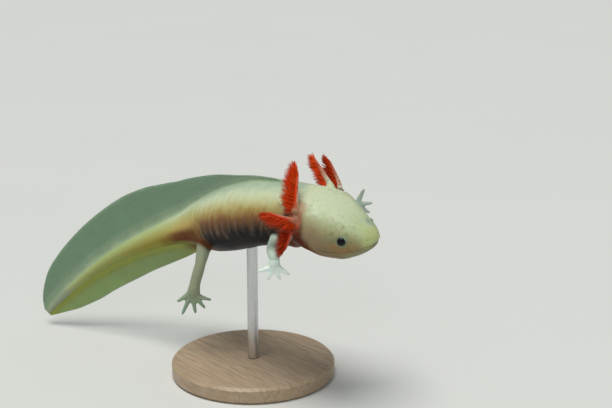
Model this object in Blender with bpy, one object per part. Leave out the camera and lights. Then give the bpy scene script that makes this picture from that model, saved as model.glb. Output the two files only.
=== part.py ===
"""Life-size axolotl, hovering as it swims, held by one rod on a flat base.

Lengths are millimetres and angles are degrees until the meshes are written in metres.
+X is the way the trunk heads, +Y its left side, +Z up. The origin is the middle of the base's underside.
Stations run along the body's midline from the snout (0) to the tail tip.
"""
import math
import random

import bmesh
import bpy
import numpy as np
from mathutils import Matrix, Vector
from mathutils.bvhtree import BVHTree

METRES = 0.001
GAP = 0.3

# Stations along the midline
EYE_AT = 8.4
MOUTH_CORNER_AT = 15.5
HEAD_END = 27.4
NECK_END = 31.0
VENT_AT = 89.0
TAIL_TIP = 177.0

# Where the snout is, over the base's middle
SNOUT_AT = (56.2, 8.6, 61.5)

# Bends of the midline: heading to the left, pitch upward and roll of the right side downward
HEADING = [(0, 18), (26, 15), (40, 6), (56, 0), (78, 0), (90, 8), (115, 22), (140, 30), (177, 34)]
PITCH = [(0, -12), (26, -8), (40, 8), (56, 17), (78, 22), (90, 20), (115, 25), (140, 34), (177, 50)]
ROLL = [(0, 8), (26, 8.5), (40, 9), (56, 9), (78, 8), (90, 6), (115, 4), (177, 0)]

# Faces round each stretch of the body, and how far the snout's point stands before the first section
NECK_SIDES = 28
TORSO_SIDES = 24
TAIL_SIDES = 18
TAIL_RINGS = 20
SNOUT_POINT = 0.35
SHARP_ANGLE = 50.0

# Body sections: half width, reach above and below the midline
HALF_WIDTH = [(0, 0.3), (0.4, 2.5), (1.2, 4.0), (3, 5.8), (6, 7.7), (10, 10.0), (15, 12.9), (20, 14.7),
              (24, 13.8), (28, 11.4), (33, 10.4), (40, 11.1), (50, 12), (65, 12.3), (78, 10.5), (86, 8.3),
              (95, 6.2), (110, 4.3), (135, 2.5), (163, 1.1), (177, 0.35)]
REACH_ABOVE = [(0, 0.3), (0.4, 1.7), (1.2, 2.8), (3, 4.2), (6, 5.5), (10, 6.9), (15, 8.7), (20, 10.1),
               (28, 10.6), (38, 10.6), (50, 11.0), (65, 10.7), (78, 9.9), (88, 8.6), (96, 6.7), (110, 4.9),
               (135, 3.0), (163, 1.4), (177, 0.35)]
REACH_BELOW = [(0, 0.3), (0.4, 1.6), (1.2, 2.8), (3, 4.7), (6, 7.0), (10, 9.0), (15, 9.2), (19, 7.6),
               (23, 7.0), (26, 8.8), (29, 11.4), (34, 12.0), (50, 12.4), (65, 12.8), (78, 11.8), (86, 9.4),
               (95, 6.4), (110, 4.3), (135, 2.6), (163, 1.3), (177, 0.35)]
ROUNDNESS = [(0, 2.1), (10, 2.3), (24, 2.35), (32, 2.1), (177, 2.0)]

# Mouth line: its height from the midline, and the groove between the lips
MOUTH_HEIGHT = [(0, 0.0), (1.2, -0.6), (4, -2.2), (9, -3.9), (13, -3.9), (15.5, -3.0), (28, -2.5)]
LIP_GROOVE = 0.6
LIP_SPREAD = 0.4
LIP_SPREAD_LIMIT = 0.2
LIP_FADE_RUN = 2.5
LIP_FADE_END = 0.6
LIP_FULL_HALF_WIDTH = 5.0
LOWEST_MOUTH = 0.995
HEAD_SIDES = {"above the mouth": 8, "below the mouth": 6}

# Costal grooves down the flanks
COSTAL_GROOVES = 11
COSTAL_START = 39.0
COSTAL_END = 78.0
COSTAL_DEPTH = 0.4
COSTAL_SHARPNESS = 4.0
COSTAL_RIDGE_SHARE = 0.35

# Fins: height over the body, and thickness
BACK_FIN_START = 36.0
UPPER_FIN = [(36, 0.6), (45, 1.2), (56, 2.4), (70, 5.4), (80, 7.5), (90, 9.6), (100, 12.4), (110, 14.6),
             (120, 15.4), (130, 14.9), (140, 13.9), (150, 12.6), (160, 10.8), (168, 7.8), (174, 4.0),
             (177, 0.7)]
LOWER_FIN = [(91, 0.6), (97, 3.6), (105, 5.8), (118, 7.6), (135, 8.8), (150, 8.8), (162, 7.0), (172, 3.2),
             (177, 0.7)]
FIN_ROOT_HALF = 0.75
FIN_ROOT_SHARE = 0.8
FIN_EDGE_HALF = 0.27
FIN_TIP_INSET = 0.5
FIN_ROWS = 3
FIN_STATIONS = {"back_fin": 22, "tail_fin_upper": 30, "tail_fin_lower": 28}

# Eyes and nostrils
EYE_RADIUS = 1.65
EYE_ACROSS = 8.5
EYE_ABOVE = 0.8
EYE_SIDES = (14, 8)
NOSTRIL_AT = (1.5, 3.3, 1.6)
NOSTRIL_RADIUS = 0.42
NOSTRIL_SIDES = (8, 5)

# Gills: root as station, across and above, the way that each one reaches (mm along X, Y, Z), how far its
# middle bows outward, the way its filaments lean (forward, outward, up) and their greatest length
GILLS = {
    ("right", "upper"): ((25.3, 11.6, 8.4), (-1.9, 2.5, 12.6), 0.7, (-1, 0.25, 0), 4.4),
    ("right", "middle"): ((24.6, 13.0, 4.6), (-7.8, -4.4, 1.8), 0.7, (0, 0.4, -1), 4.2),
    ("right", "lower"): ((24.3, 12.6, 0.2), (0.3, -3.5, -5.3), 0.7, (-1, 0.3, 0), 3.4),
    ("left", "upper"): ((25.4, 10.4, 8.8), (-6.2, -1.7, 9.1), 0.7, (-1, 0, -0.3), 3.2),
    ("left", "middle"): ((23.8, 13.0, 4.6), (-7.5, 1.9, 10.5), 2.2, (-1, -0.2, 0), 3.3),
    ("left", "lower"): ((24.4, 12.6, 1.5), (-7.7, 3.8, 1.1), 0.7, (-0.3, 0.8, -0.2), 3.0),
}
GILL_ROOT_RADIUS = 1.4
GILL_TIP_RADIUS = 0.5
GILL_TAPER = 0.8
GILL_RINGS = 9
GILL_ROOT_WAY = (0.5, 0.8)
FILAMENTS_START = 0.28
FILAMENT_SPACING = 1.5
FILAMENT_SHARE = [(0, 0.7), (0.35, 1.0), (0.75, 0.9), (1, 0.5)]
FILAMENT_SPREAD = 0.62
FILAMENT_HALF = 0.44
FILAMENT_TIP_HALF = 0.2
FILAMENT_SIDES = 5
FILAMENT_TURN = (0.31, 0.52, 0.79)
FILAMENT_LENGTH_RANGE = (0.9, 1.1)
FILAMENT_TIPWARD = (0.35, 0.9)
FILAMENT_SINK = 0.1
FILAMENT_OVERRUN = 0.5
FILAMENT_DROOP = -0.35
GILL_SIDES = 8
GILL_FLATNESS = 0.8

# Legs: root as station, across and above, then the run of each segment (mm along X, Y, Z)
LEGS = {
    "foreleg_right": ((34.0, -8.6, -5.0), [(2.9, -5.0, -3.2), (5.2, -3.3, -1.5)], (2.4, 2.1, 2.0)),
    "foreleg_left": ((35.6, 8.6, -4.5), [(3.6, 7.0, -1.2), (4.2, 4.7, 3.4)], (3.0, 2.1, 1.75)),
    "hindleg_right": ((80, -7.0, -5.5), [(2.6, -4.4, -8.0), (-1.1, -1.6, -6.9)], (3.0, 2.3, 2.3)),
    "hindleg_left": ((80, 7.0, -5.0), [(-5.5, 4.6, -4.2), (-7.4, -1.4, -4.6)], (3.8, 2.9, 2.3)),
}

WRIST_RUN = 1.8
LEG_RINGS = 10
LEG_SIDES = 12
LEG_FLATNESS = 0.85
LEG_ROOT_OUTWARD = 3.0

# Feet: the way the foot hangs, the way its digits spread, palm length and half width, then each digit's
# angle from the foot's line and its length
TOWARD_PHOTO_RIGHT = (0.643, 0.766, 0.0)
FEET = {
    "forefoot_right": ((0.05, -0.05, -1.0), TOWARD_PHOTO_RIGHT, 2.0, 2.0,
                       [(-70, 4.0), (-24, 3.6), (22, 3.6), (56, 4.2)]),
    "forefoot_left": ((0.65, 0.74, 0.15), (0.1, 0.1, -1.0), 2.6, 2.1,
                      [(-56, 5.0), (0, 4.2), (38, 3.6), (70, 3.4)]),
    "hindfoot_right": ((-0.1, -0.15, -1.0), TOWARD_PHOTO_RIGHT, 3.4, 2.7,
                       [(-46, 4.4), (-14, 7.4), (18, 5.8), (48, 5.0), (84, 4.4)]),
    "hindfoot_left": ((-0.8, -0.15, -0.6), (-0.3, 0.95, 0.1), 3.4, 2.7,
                      [(-62, 4.8), (-32, 5.8), (-4, 6.8), (26, 6.6), (56, 4.8)]),
}
PALM_HALF_THICKNESS = (1.35, 1.0)
PALM_END = 0.7
PALM_START = 0.2
PALM_MIDDLE = 0.45
PALM_MIDDLE_WIDTH = 0.85
KNUCKLE_SINK = (0.5, 0.6)
DIGIT_HALF_WIDTHS = (0.85, 0.85, 0.66, 0.53, 0.36)
DIGIT_SIDES = 8
DIGIT_OVERRUN = 0.8
DIGIT_POINT = 0.25
DIGIT_BOW = 0.25

# Stand
BASE_RADIUS = 30.0
BASE_THICKNESS = 6.0
BASE_EDGE = 1.0
BASE_SIDES = 64
ROD_STATION = 63.0
ROD_RADIUS = 2.0
ROD_SIDES = 24
ROD_REACH = 90.0

RANDOM_SEED = 13

# Colours and roughness of the plain materials
FINISHES = {
    "skin": ((0.84, 0.80, 0.63), 0.38),
    "fin": ((0.56, 0.66, 0.58), 0.32),
    "gill": ((0.66, 0.10, 0.05), 0.45),
    "eye": ((0.02, 0.025, 0.03), 0.12),
    "base": ((0.62, 0.52, 0.38), 0.5),
    "rod": ((0.62, 0.63, 0.64), 0.3),
}


def clear_scene():
    for obj in list(bpy.data.objects):
        bpy.data.objects.remove(obj, do_unlink=True)


def material(name):
    found = bpy.data.materials.get(name)
    if found:
        return found
    colour, roughness = FINISHES[name]
    made = bpy.data.materials.new(name)
    made.use_nodes = True
    shader = made.node_tree.nodes["Principled BSDF"]
    shader.inputs["Base Color"].default_value = (*colour, 1.0)
    shader.inputs["Roughness"].default_value = roughness
    shader.inputs["Metallic"].default_value = 1.0 if name == "rod" else 0.0
    return made


def profile(pairs):
    """A smooth curve through (station, value) pairs that never overshoots them."""
    xs = np.array([p[0] for p in pairs], float)
    ys = np.array([p[1] for p in pairs], float)
    steps = np.diff(xs)
    rises = np.diff(ys) / steps
    slopes = np.zeros(len(xs))
    slopes[0], slopes[-1] = rises[0], rises[-1]
    for i in range(1, len(xs) - 1):
        if rises[i - 1] * rises[i] > 0:
            a, b = 2 * steps[i] + steps[i - 1], steps[i] + 2 * steps[i - 1]
            slopes[i] = (a + b) / (a / rises[i - 1] + b / rises[i])

    def value(x):
        x = min(max(x, xs[0]), xs[-1])
        i = min(int(np.searchsorted(xs, x, side="right")) - 1, len(xs) - 2)
        t = (x - xs[i]) / steps[i]
        return float(
            (1 + 2 * t) * (1 - t) ** 2 * ys[i]
            + t * (1 - t) ** 2 * steps[i] * slopes[i]
            + t * t * (3 - 2 * t) * ys[i + 1]
            + t * t * (t - 1) * steps[i] * slopes[i + 1]
        )

    return value


half_width, reach_above, reach_below = profile(HALF_WIDTH), profile(REACH_ABOVE), profile(REACH_BELOW)
roundness, mouth_height = profile(ROUNDNESS), profile(MOUTH_HEIGHT)
upper_fin, lower_fin = profile(UPPER_FIN), profile(LOWER_FIN)
filament_share = profile(FILAMENT_SHARE)


def unit(v):
    v = np.array(v, float)
    return v / np.linalg.norm(v)


class Spine:
    """The body's midline with its forward, left and up directions."""

    STEP = 0.5

    def __init__(self):
        heading, pitch, roll = profile(HEADING), profile(PITCH), profile(ROLL)
        self.stations = np.arange(0, TAIL_TIP + self.STEP / 2, self.STEP)
        rows = []
        point = np.array(SNOUT_AT, float)
        before = None
        for s in self.stations:
            h, p, r = (math.radians(f(s)) for f in (heading, pitch, roll))
            forward = np.array([math.cos(p) * math.cos(h), math.cos(p) * math.sin(h), math.sin(p)])
            level_left = unit(np.cross((0, 0, 1), forward))
            level_up = np.cross(forward, level_left)
            left = level_left * math.cos(r) + level_up * math.sin(r)
            if before is not None:
                point = point - (forward + before) / 2 * self.STEP
            before = forward
            rows.append(np.concatenate([point, forward, left, np.cross(forward, left)]))
        self.rows = np.array(rows)

    def frame(self, s):
        row = [np.interp(s, self.stations, self.rows[:, k]) for k in range(12)]
        return np.array(row[0:3]), unit(row[3:6]), unit(row[6:9]), unit(row[9:12])

    def point(self, s, across=0.0, above=0.0):
        centre, _, left, up = self.frame(s)
        return centre + across * left + above * up


SPINE = Spine()


def section(s, angle, groove=0.0):
    """Across and above at an angle from the back's ridge, on the body's outline at a station."""
    power = 2 / roundness(s)
    sine, cosine = math.sin(angle), math.cos(angle)
    across = (half_width(s) - groove) * math.copysign(abs(sine) ** power, sine)
    reach = reach_above(s) if cosine > 0 else reach_below(s)
    return across, (reach - groove) * math.copysign(abs(cosine) ** power, cosine)


def mesh_object(name, verts, faces, finish, smooth=True):
    """An object in metres from points in millimetres, with its faces pointing out."""
    mesh = bpy.data.meshes.new(name)
    mesh.from_pydata([tuple(METRES * c for c in v) for v in verts], [], faces)
    shell = bmesh.new()
    shell.from_mesh(mesh)
    bmesh.ops.recalc_face_normals(shell, faces=shell.faces)
    shell.to_mesh(mesh)
    shell.free()
    if smooth:
        mesh.shade_smooth()
        mesh.set_sharp_from_angle(angle=math.radians(SHARP_ANGLE))
    obj = bpy.data.objects.new(name, mesh)
    obj.data.materials.append(material(finish))
    bpy.context.scene.collection.objects.link(obj)
    return obj


def loft(rings, first=None, last=None):
    """Points and faces of a tube through equal rings, closed on first and last or on its ends' middles."""
    count = len(rings[0])
    verts = [p for ring in rings for p in ring]
    faces = []
    for r in range(len(rings) - 1):
        for k in range(count):
            a, b = r * count + k, r * count + (k + 1) % count
            faces.append((a, b, b + count, a + count))
    ends = [(0, first, rings[0]), ((len(rings) - 1) * count, last, rings[-1])]
    for start, point, ring in ends:
        verts.append(np.mean(ring, axis=0) if point is None else point)
        tip = len(verts) - 1
        for k in range(count):
            faces.append((start + k, start + (k + 1) % count, tip))
    return verts, faces


def tree_of(obj):
    """A search tree of an object's surface, in millimetres."""
    points = [v.co / METRES for v in obj.data.vertices]
    return BVHTree.FromPolygons(points, [tuple(p.vertices) for p in obj.data.polygons])


def scribe(point, direction, tree, gap=GAP, reach=14.0):
    """The point moved along direction to lie just off the surface that it faces."""
    way = Vector(unit(direction))
    start = Vector(point) + way * reach
    hit = tree.ray_cast(start, -way, 2 * reach)[0]
    if hit is None:
        raise ValueError("a root misses the surface that it grows from")
    return np.array(hit + way * gap)


def curve_points(points, count):
    """Points spread evenly along a smooth curve through the given ones."""
    points = np.array(points, float)
    runs = [0.0, *np.cumsum(np.linalg.norm(np.diff(points, axis=0), axis=1))]
    curves = [profile(list(zip(runs, points[:, axis]))) for axis in range(3)]
    return [np.array([curve(t) for curve in curves]) for t in np.linspace(0.0, runs[-1], count)]


def even_angles(sides):
    return [2 * math.pi * k / sides for k in range(sides)]


def across_pair(tangent, hint):
    """Two unit directions square to the tangent, the first as near the hint as can be."""
    hint = np.array(hint, float)
    side = unit(hint - tangent * np.dot(hint, tangent))
    return side, np.cross(tangent, side)


def tube_rings(path, radii, sides, hint, flatten=1.0):
    """Rings round a path. The hint keeps them from twisting, and flatten thins them square to it."""
    rings = []
    for i, centre in enumerate(path):
        ahead = path[min(i + 1, len(path) - 1)] - path[max(i - 1, 0)]
        a, b = across_pair(unit(ahead), hint)
        angles = even_angles(sides)
        rings.append([centre + radii[i] * (math.cos(t) * a + flatten * math.sin(t) * b) for t in angles])
    return rings


def match_start(ring, other):
    """The ring turned and, where needed, reversed so that its points line up with the other's."""
    best = None
    for order in (ring, list(reversed(ring))):
        for k in range(len(ring)):
            turned = order[k:] + order[:k]
            cost = sum(float(np.linalg.norm(p - q)) for p, q in zip(turned, other))
            if best is None or cost < best[0]:
                best = (cost, turned)
    return best[1]


def is_clear(point, tree):
    """Whether a point lies outside a closed surface, at least a gap from it."""
    near, normal = tree.find_nearest(Vector(point))[:2]
    return (Vector(point) - near).dot(normal) > GAP


def rooted_tube(path, radii, sides, hint, flatten, out, tree):
    """Points and faces of a tube whose root lies just off the surface that it grows out of."""
    rings = tube_rings(path, radii, sides, hint, flatten)
    a, b = across_pair(out, hint)
    root = [path[0] + radii[0] * (math.cos(t) * a + flatten * math.sin(t) * b) for t in even_angles(sides)]
    root = [scribe(p, out, tree) for p in root]
    clear = next(i for i in range(1, len(rings)) if all(is_clear(p, tree) for p in rings[i]))
    return loft([match_start(root, rings[clear]), *rings[clear:]], first=scribe(path[0], out, tree))


def keep_largest(obj):
    """Leaves only the largest closed surface of an object."""
    shell = bmesh.new()
    shell.from_mesh(obj.data)
    unseen = set(shell.faces)
    groups = []
    while unseen:
        stack = [unseen.pop()]
        group = []
        while stack:
            face = stack.pop()
            group.append(face)
            for edge in face.edges:
                for other in edge.link_faces:
                    if other in unseen:
                        unseen.discard(other)
                        stack.append(other)
        groups.append(group)
    groups.sort(key=lambda g: sum(f.calc_area() for f in g))
    doomed = [f for g in groups[:-1] for f in g]
    if doomed:
        bmesh.ops.delete(shell, geom=doomed, context="FACES")
        shell.to_mesh(obj.data)
    shell.free()


def is_closed(obj):
    """Whether every edge of an object has two faces."""
    shell = bmesh.new()
    shell.from_mesh(obj.data)
    closed = all(len(edge.link_faces) == 2 for edge in shell.edges)
    shell.free()
    return closed


def apply_boolean(obj, others, operation):
    """Joins closed objects to obj, or cuts them from it, and removes them."""
    group = bpy.data.collections.new("pieces")
    bpy.context.scene.collection.children.link(group)
    for other in others:
        bpy.context.scene.collection.objects.unlink(other)
        group.objects.link(other)
    before = obj.data.copy()
    for solver in ("EXACT", "MANIFOLD"):
        modifier = obj.modifiers.new("join", "BOOLEAN")
        modifier.operation = operation
        modifier.operand_type = "COLLECTION"
        modifier.collection = group
        modifier.solver = solver
        bpy.context.view_layer.objects.active = obj
        with bpy.context.temp_override(object=obj, active_object=obj):
            bpy.ops.object.modifier_apply(modifier=modifier.name)
        keep_largest(obj)
        if is_closed(obj):
            break
        obj.data = before.copy()
    for other in others:
        bpy.data.objects.remove(other, do_unlink=True)
    bpy.data.collections.remove(group)
    return obj


def costal_groove(s):
    """Depth of the flank's grooves at a station."""
    spacing = (COSTAL_END - COSTAL_START) / (COSTAL_GROOVES - 1)
    if not COSTAL_START - spacing / 2 < s < COSTAL_END + spacing / 2:
        return 0.0
    phase = ((s - COSTAL_START) / spacing + 0.5) % 1.0 - 0.5
    return COSTAL_DEPTH * max(0.0, 1 - abs(phase) * COSTAL_SHARPNESS)


def body_ring(s, angles, flank_groove=0.0):
    ring = []
    for angle in angles:
        groove = flank_groove * max(0.0, abs(math.sin(angle)) - COSTAL_RIDGE_SHARE)
        ring.append(SPINE.point(s, *section(s, angle, groove)))
    return ring


def head_ring(s):
    """A ring of the head: lips and the groove between them lie at fixed places in it, on both sides."""
    upper_steps, lower_steps = HEAD_SIDES["above the mouth"], HEAD_SIDES["below the mouth"]
    share = min(LOWEST_MOUTH, max(0.0, -mouth_height(s) / reach_below(s)))
    mouth = math.acos(-(share ** (roundness(s) / 2)))
    spread = min(LIP_SPREAD_LIMIT, LIP_SPREAD / max(half_width(s), 1.0))
    fade = min(1.0, max(0.0, (MOUTH_CORNER_AT + LIP_FADE_END - s) / LIP_FADE_RUN))
    groove = LIP_GROOVE * fade * min(1.0, half_width(s) / LIP_FULL_HALF_WIDTH)
    side = [(mouth - spread) * k / upper_steps for k in range(upper_steps + 1)]
    side.append(mouth)
    side += [mouth + spread + (math.pi - mouth - spread) * k / lower_steps for k in range(lower_steps + 1)]
    points = [section(s, angle, groove if angle == mouth else 0.0) for angle in side]
    right = [(-a, u) for a, u in reversed(points[1:-1])]
    return [SPINE.point(s, a, u) for a, u in points + right]


def build_head():
    stations = [0.4, 1.2, 2.4, 4.0, 6.0, 8.0, 10.0, 12.2, 14.2, 15.6, 17.4, 19.6, 21.8, 23.8, 25.4, 26.8,
                HEAD_END - GAP / 2]
    tip = SPINE.point(0.0) - SPINE.frame(0.0)[1] * SNOUT_POINT
    verts, faces = loft([head_ring(s) for s in stations], first=tip)
    head = mesh_object("head", verts, faces, "skin")
    cutters = []
    for side in (-1, 1):
        socket = SPINE.point(EYE_AT, side * EYE_ACROSS, EYE_ABOVE)
        cutters.append(ball("socket", socket, EYE_RADIUS + GAP, EYE_SIDES, "skin"))
        at, across, above = NOSTRIL_AT
        nostril = SPINE.point(at, side * across, above)
        cutters.append(ball("nostril", nostril, NOSTRIL_RADIUS, NOSTRIL_SIDES, "skin"))
    return apply_boolean(head, cutters, "DIFFERENCE")


def ball(name, centre, radius, sides, finish):
    shell = bmesh.new()
    bmesh.ops.create_uvsphere(shell, u_segments=sides[0], v_segments=sides[1], radius=radius * METRES)
    mesh = bpy.data.meshes.new(name)
    shell.to_mesh(mesh)
    shell.free()
    mesh.transform(Matrix.Translation(Vector(centre) * METRES))
    mesh.shade_smooth()
    obj = bpy.data.objects.new(name, mesh)
    obj.data.materials.append(material(finish))
    bpy.context.scene.collection.objects.link(obj)
    return obj


def build_eyes():
    for name, side in (("eye_right", -1), ("eye_left", 1)):
        ball(name, SPINE.point(EYE_AT, side * EYE_ACROSS, EYE_ABOVE), EYE_RADIUS, EYE_SIDES, "eye")


def build_body(name, stations, sides, first=None, last=None):
    angles = even_angles(sides)
    verts, faces = loft([body_ring(s, angles, costal_groove(s)) for s in stations], first, last)
    return mesh_object(name, verts, faces, "skin")


def build_trunk():
    start, end = HEAD_END + GAP / 2, NECK_END
    build_body("neck", [start, (start + end) / 2, end - GAP / 2], NECK_SIDES)
    spacing = (COSTAL_END - COSTAL_START) / (COSTAL_GROOVES - 1)
    stations = [end + GAP / 2, 34.0]
    for k in range(COSTAL_GROOVES):
        centre = COSTAL_START + k * spacing
        stations += [centre - spacing / 4, centre, centre + spacing / 4]
    stations += [81.0, 83.0, 85.0, 87.0, VENT_AT - GAP / 2]
    return build_body("torso", stations, TORSO_SIDES)


def build_tail():
    stations = [VENT_AT + GAP / 2, *np.linspace(VENT_AT + 2.0, TAIL_TIP - 1.0, TAIL_RINGS)]
    tip = SPINE.point(TAIL_TIP)
    return build_body("tail", stations, TAIL_SIDES, last=tip)


def build_fin(name, start, end, height, side):
    """A thin slab over the ridge (side 1) or under the keel (side -1), split alike on both faces."""
    steps, count = FIN_ROWS, FIN_STATIONS[name]
    verts, faces = [], []
    stations = np.linspace(start, end, count)
    for s in stations:
        reach = reach_above(s) if side > 0 else reach_below(s)
        root_half = min(FIN_ROOT_HALF, max(FIN_EDGE_HALF, FIN_ROOT_SHARE * half_width(s)))
        rise = [reach + GAP + height(s) * k / (steps - 1) for k in range(steps)]
        half = [root_half + (FIN_EDGE_HALF - root_half) * k / (steps - 1) for k in range(steps)]
        for way in (1, -1):
            verts += [SPINE.point(s, way * half[k], side * rise[k]) for k in range(steps)]
    ring = 2 * steps

    def quad(a, b, i):
        base = i * ring
        faces.append((base + a, base + b, base + ring + b))
        faces.append((base + a, base + ring + b, base + ring + a))

    for i in range(count - 1):
        for k in range(steps - 1):
            quad(k, k + 1, i)
            quad(steps + k, steps + k + 1, i)
        quad(0, steps, i)
        quad(steps - 1, 2 * steps - 1, i)
    for base in (0, (count - 1) * ring):
        for k in range(steps - 1):
            faces.append((base + k, base + k + 1, base + steps + k + 1, base + steps + k))
    return mesh_object(name, verts, faces, "fin")


def build_fins():
    build_fin("back_fin", BACK_FIN_START, VENT_AT - GAP / 2, upper_fin, 1)
    build_fin("tail_fin_upper", VENT_AT + GAP / 2, TAIL_TIP - FIN_TIP_INSET, upper_fin, 1)
    build_fin("tail_fin_lower", LOWER_FIN[0][0], TAIL_TIP - FIN_TIP_INSET, lower_fin, -1)


def filament(name, root, tip, bend):
    """A tapered filament whose root end is sunk in its stalk."""
    widths = [FILAMENT_HALF, FILAMENT_HALF, 0.8 * FILAMENT_HALF, FILAMENT_TIP_HALF]
    path = curve_points([root, (root + tip) / 2 + bend, tip], len(widths))
    verts, faces = loft(tube_rings(path, widths, FILAMENT_SIDES, FILAMENT_TURN))
    return mesh_object(name, verts, faces, "gill", smooth=False)


def build_gill(side, place, head_tree, dice):
    (at, across, above), reach, bow, lean, longest = GILLS[side, place]
    way = 1 if side == "left" else -1
    out = unit(SPINE.point(at, GILL_ROOT_WAY[0] * way * across, GILL_ROOT_WAY[1] * above) - SPINE.point(at))
    root = scribe(SPINE.point(at, way * across, above), out, head_tree)
    reach = np.array(reach, float)
    _, forward, left, up = SPINE.frame(at)
    last = GILL_RINGS - 1
    path = curve_points([root, root + 0.5 * (reach + bow * way * left), root + reach], GILL_RINGS)
    thinner = GILL_TIP_RADIUS - GILL_ROOT_RADIUS
    radii = [GILL_ROOT_RADIUS + thinner * (i / last) ** GILL_TAPER for i in range(GILL_RINGS)]
    verts, faces = rooted_tube(path, radii, GILL_SIDES, -forward, GILL_FLATNESS, out, head_tree)
    stalk = mesh_object(f"gill_{side}_{place}", verts, faces, "gill")
    lean_way = unit(lean[0] * forward + lean[1] * way * left + lean[2] * up)
    count = round(np.linalg.norm(reach) * (1 - FILAMENTS_START) / FILAMENT_SPACING)
    pieces = []
    for row in (-1, 1):
        for k in range(count):
            stagger = 0.0 if row < 0 else 0.5
            t = FILAMENTS_START + (1 - FILAMENTS_START) * (k + stagger) / count
            i = min(int(t * last), last - 1)
            centre = path[i] + (path[i + 1] - path[i]) * (t * last - i)
            along = unit(path[i + 1] - path[i])
            lean_across, side_across = across_pair(along, lean_way)
            length = longest * filament_share(t) * dice.uniform(*FILAMENT_LENGTH_RANGE)
            tipward = FILAMENT_TIPWARD[0] + FILAMENT_TIPWARD[1] * t**3
            aim = unit(lean_across + row * FILAMENT_SPREAD * side_across + along * tipward)
            base, tip = centre + aim * FILAMENT_SINK, centre + aim * (length + FILAMENT_OVERRUN)
            pieces.append(filament("filament", base, tip, along * FILAMENT_DROOP))
    return apply_boolean(stalk, pieces, "UNION")


def build_gills(head):
    dice = random.Random(RANDOM_SEED)
    tree = tree_of(head)
    for side, place in GILLS:
        build_gill(side, place, tree, dice)


def leg_points(name):
    (at, across, above), runs, _ = LEGS[name]
    points = [SPINE.point(at, across, above)]
    for run in runs:
        points.append(points[-1] + np.array(run, float))
    points.append(points[-1] + WRIST_RUN * unit(FEET[name.replace("leg", "foot")][0]))
    return points


def build_leg(name, torso_tree):
    points = leg_points(name)
    radii = LEGS[name][2]
    count = LEG_RINGS
    path = curve_points(points, count)
    sizes = [float(np.interp(i / (count - 1), (0, 0.5, 1), radii)) for i in range(count)]
    way = 1 if name.endswith("left") else -1
    centre, forward, left, _ = SPINE.frame(LEGS[name][0][0])
    out = unit(path[0] - centre + way * left * LEG_ROOT_OUTWARD)
    verts, faces = rooted_tube(path, sizes, LEG_SIDES, forward, LEG_FLATNESS, out, torso_tree)
    mesh_object(name, verts, faces, "skin")


def build_foot(name):
    hang, spread, length, half, digits = FEET[name]
    leg = name.replace("foot", "leg")
    wrist_radius = LEGS[leg][2][2]
    path = curve_points(leg_points(leg), LEG_RINGS)
    into = unit(path[-1] - path[-2])
    start = path[-1] + into * GAP
    hang = unit(hang)
    fan, flat = across_pair(hang, spread)
    palm = start + hang * (PALM_START + PALM_MIDDLE * length)
    knuckle = start + hang * (PALM_START + length)
    a, b = across_pair(into, SPINE.frame(LEGS[leg][0][0])[1])
    angles = even_angles(LEG_SIDES)
    rings = [[start + wrist_radius * (math.cos(t) * a + LEG_FLATNESS * math.sin(t) * b) for t in angles]]
    for centre, wide, thick in zip((palm, knuckle), (PALM_MIDDLE_WIDTH * half, half), PALM_HALF_THICKNESS):
        rings.append([centre + wide * math.cos(t) * fan + thick * math.sin(t) * flat for t in angles])
    rings[0] = match_start(rings[0], rings[1])
    verts, faces = loft(rings, last=knuckle + hang * PALM_END)
    foot = mesh_object(name, verts, faces, "skin")
    pieces = []
    for k, (angle, reach) in enumerate(digits):
        turn = math.radians(angle)
        place = (k / (len(digits) - 1) - 0.5) * 2
        sink = KNUCKLE_SINK[0] + KNUCKLE_SINK[1] * abs(place)
        root = knuckle + fan * place * (half - DIGIT_HALF_WIDTHS[0]) - hang * sink
        aim = hang * math.cos(turn) + fan * math.sin(turn)
        tip = root + aim * (reach + DIGIT_OVERRUN)
        curve = curve_points([root, (root + tip) / 2 + flat * DIGIT_BOW, tip], len(DIGIT_HALF_WIDTHS))
        rings = tube_rings(curve, DIGIT_HALF_WIDTHS, DIGIT_SIDES, flat)
        verts, faces = loft(rings, last=tip + aim * DIGIT_POINT)
        pieces.append(mesh_object("digit", verts, faces, "skin"))
    return apply_boolean(foot, pieces, "UNION")


def circle(centre, radius, z, sides):
    return [np.array((centre[0] + radius * math.cos(t), centre[1] + radius * math.sin(t), z))
            for t in even_angles(sides)]


def build_stand(torso):
    shoulder = BASE_THICKNESS - BASE_EDGE
    levels = [(0.0, BASE_EDGE), (BASE_EDGE, 0.0), (shoulder, 0.0), (BASE_THICKNESS, BASE_EDGE)]
    verts, faces = loft([circle((0.0, 0.0), BASE_RADIUS - inset, z, BASE_SIDES) for z, inset in levels])
    mesh_object("stand_base", verts, faces, "base", smooth=False)
    tree = tree_of(torso)
    x, y = SPINE.point(ROD_STATION, 0.0, -reach_below(ROD_STATION))[:2]
    foot = circle((x, y), ROD_RADIUS, BASE_THICKNESS + GAP, ROD_SIDES)
    top = [scribe((p[0], p[1], SNOUT_AT[2]), (0, 0, -1), tree, reach=ROD_REACH) for p in foot]
    cap = scribe((x, y, SNOUT_AT[2]), (0, 0, -1), tree, reach=ROD_REACH)
    verts, faces = loft([foot, top], last=cap)
    mesh_object("stand_rod", verts, faces, "rod")


def main():
    clear_scene()
    head = build_head()
    build_eyes()
    torso = build_trunk()
    build_tail()
    build_fins()
    build_gills(head)
    tree = tree_of(torso)
    for name in LEGS:
        build_leg(name, tree)
    for name in FEET:
        build_foot(name)
    build_stand(torso)


main()
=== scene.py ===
"""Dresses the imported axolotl: one skin, two thin fins, feathery gills and wet eyes, on its display stand.

Lengths in the body's own tables are millimetres, as in the solids; meshes are written in metres.
Stations run along the body's midline from the snout (0) to the tail tip.
"""
import math

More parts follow.
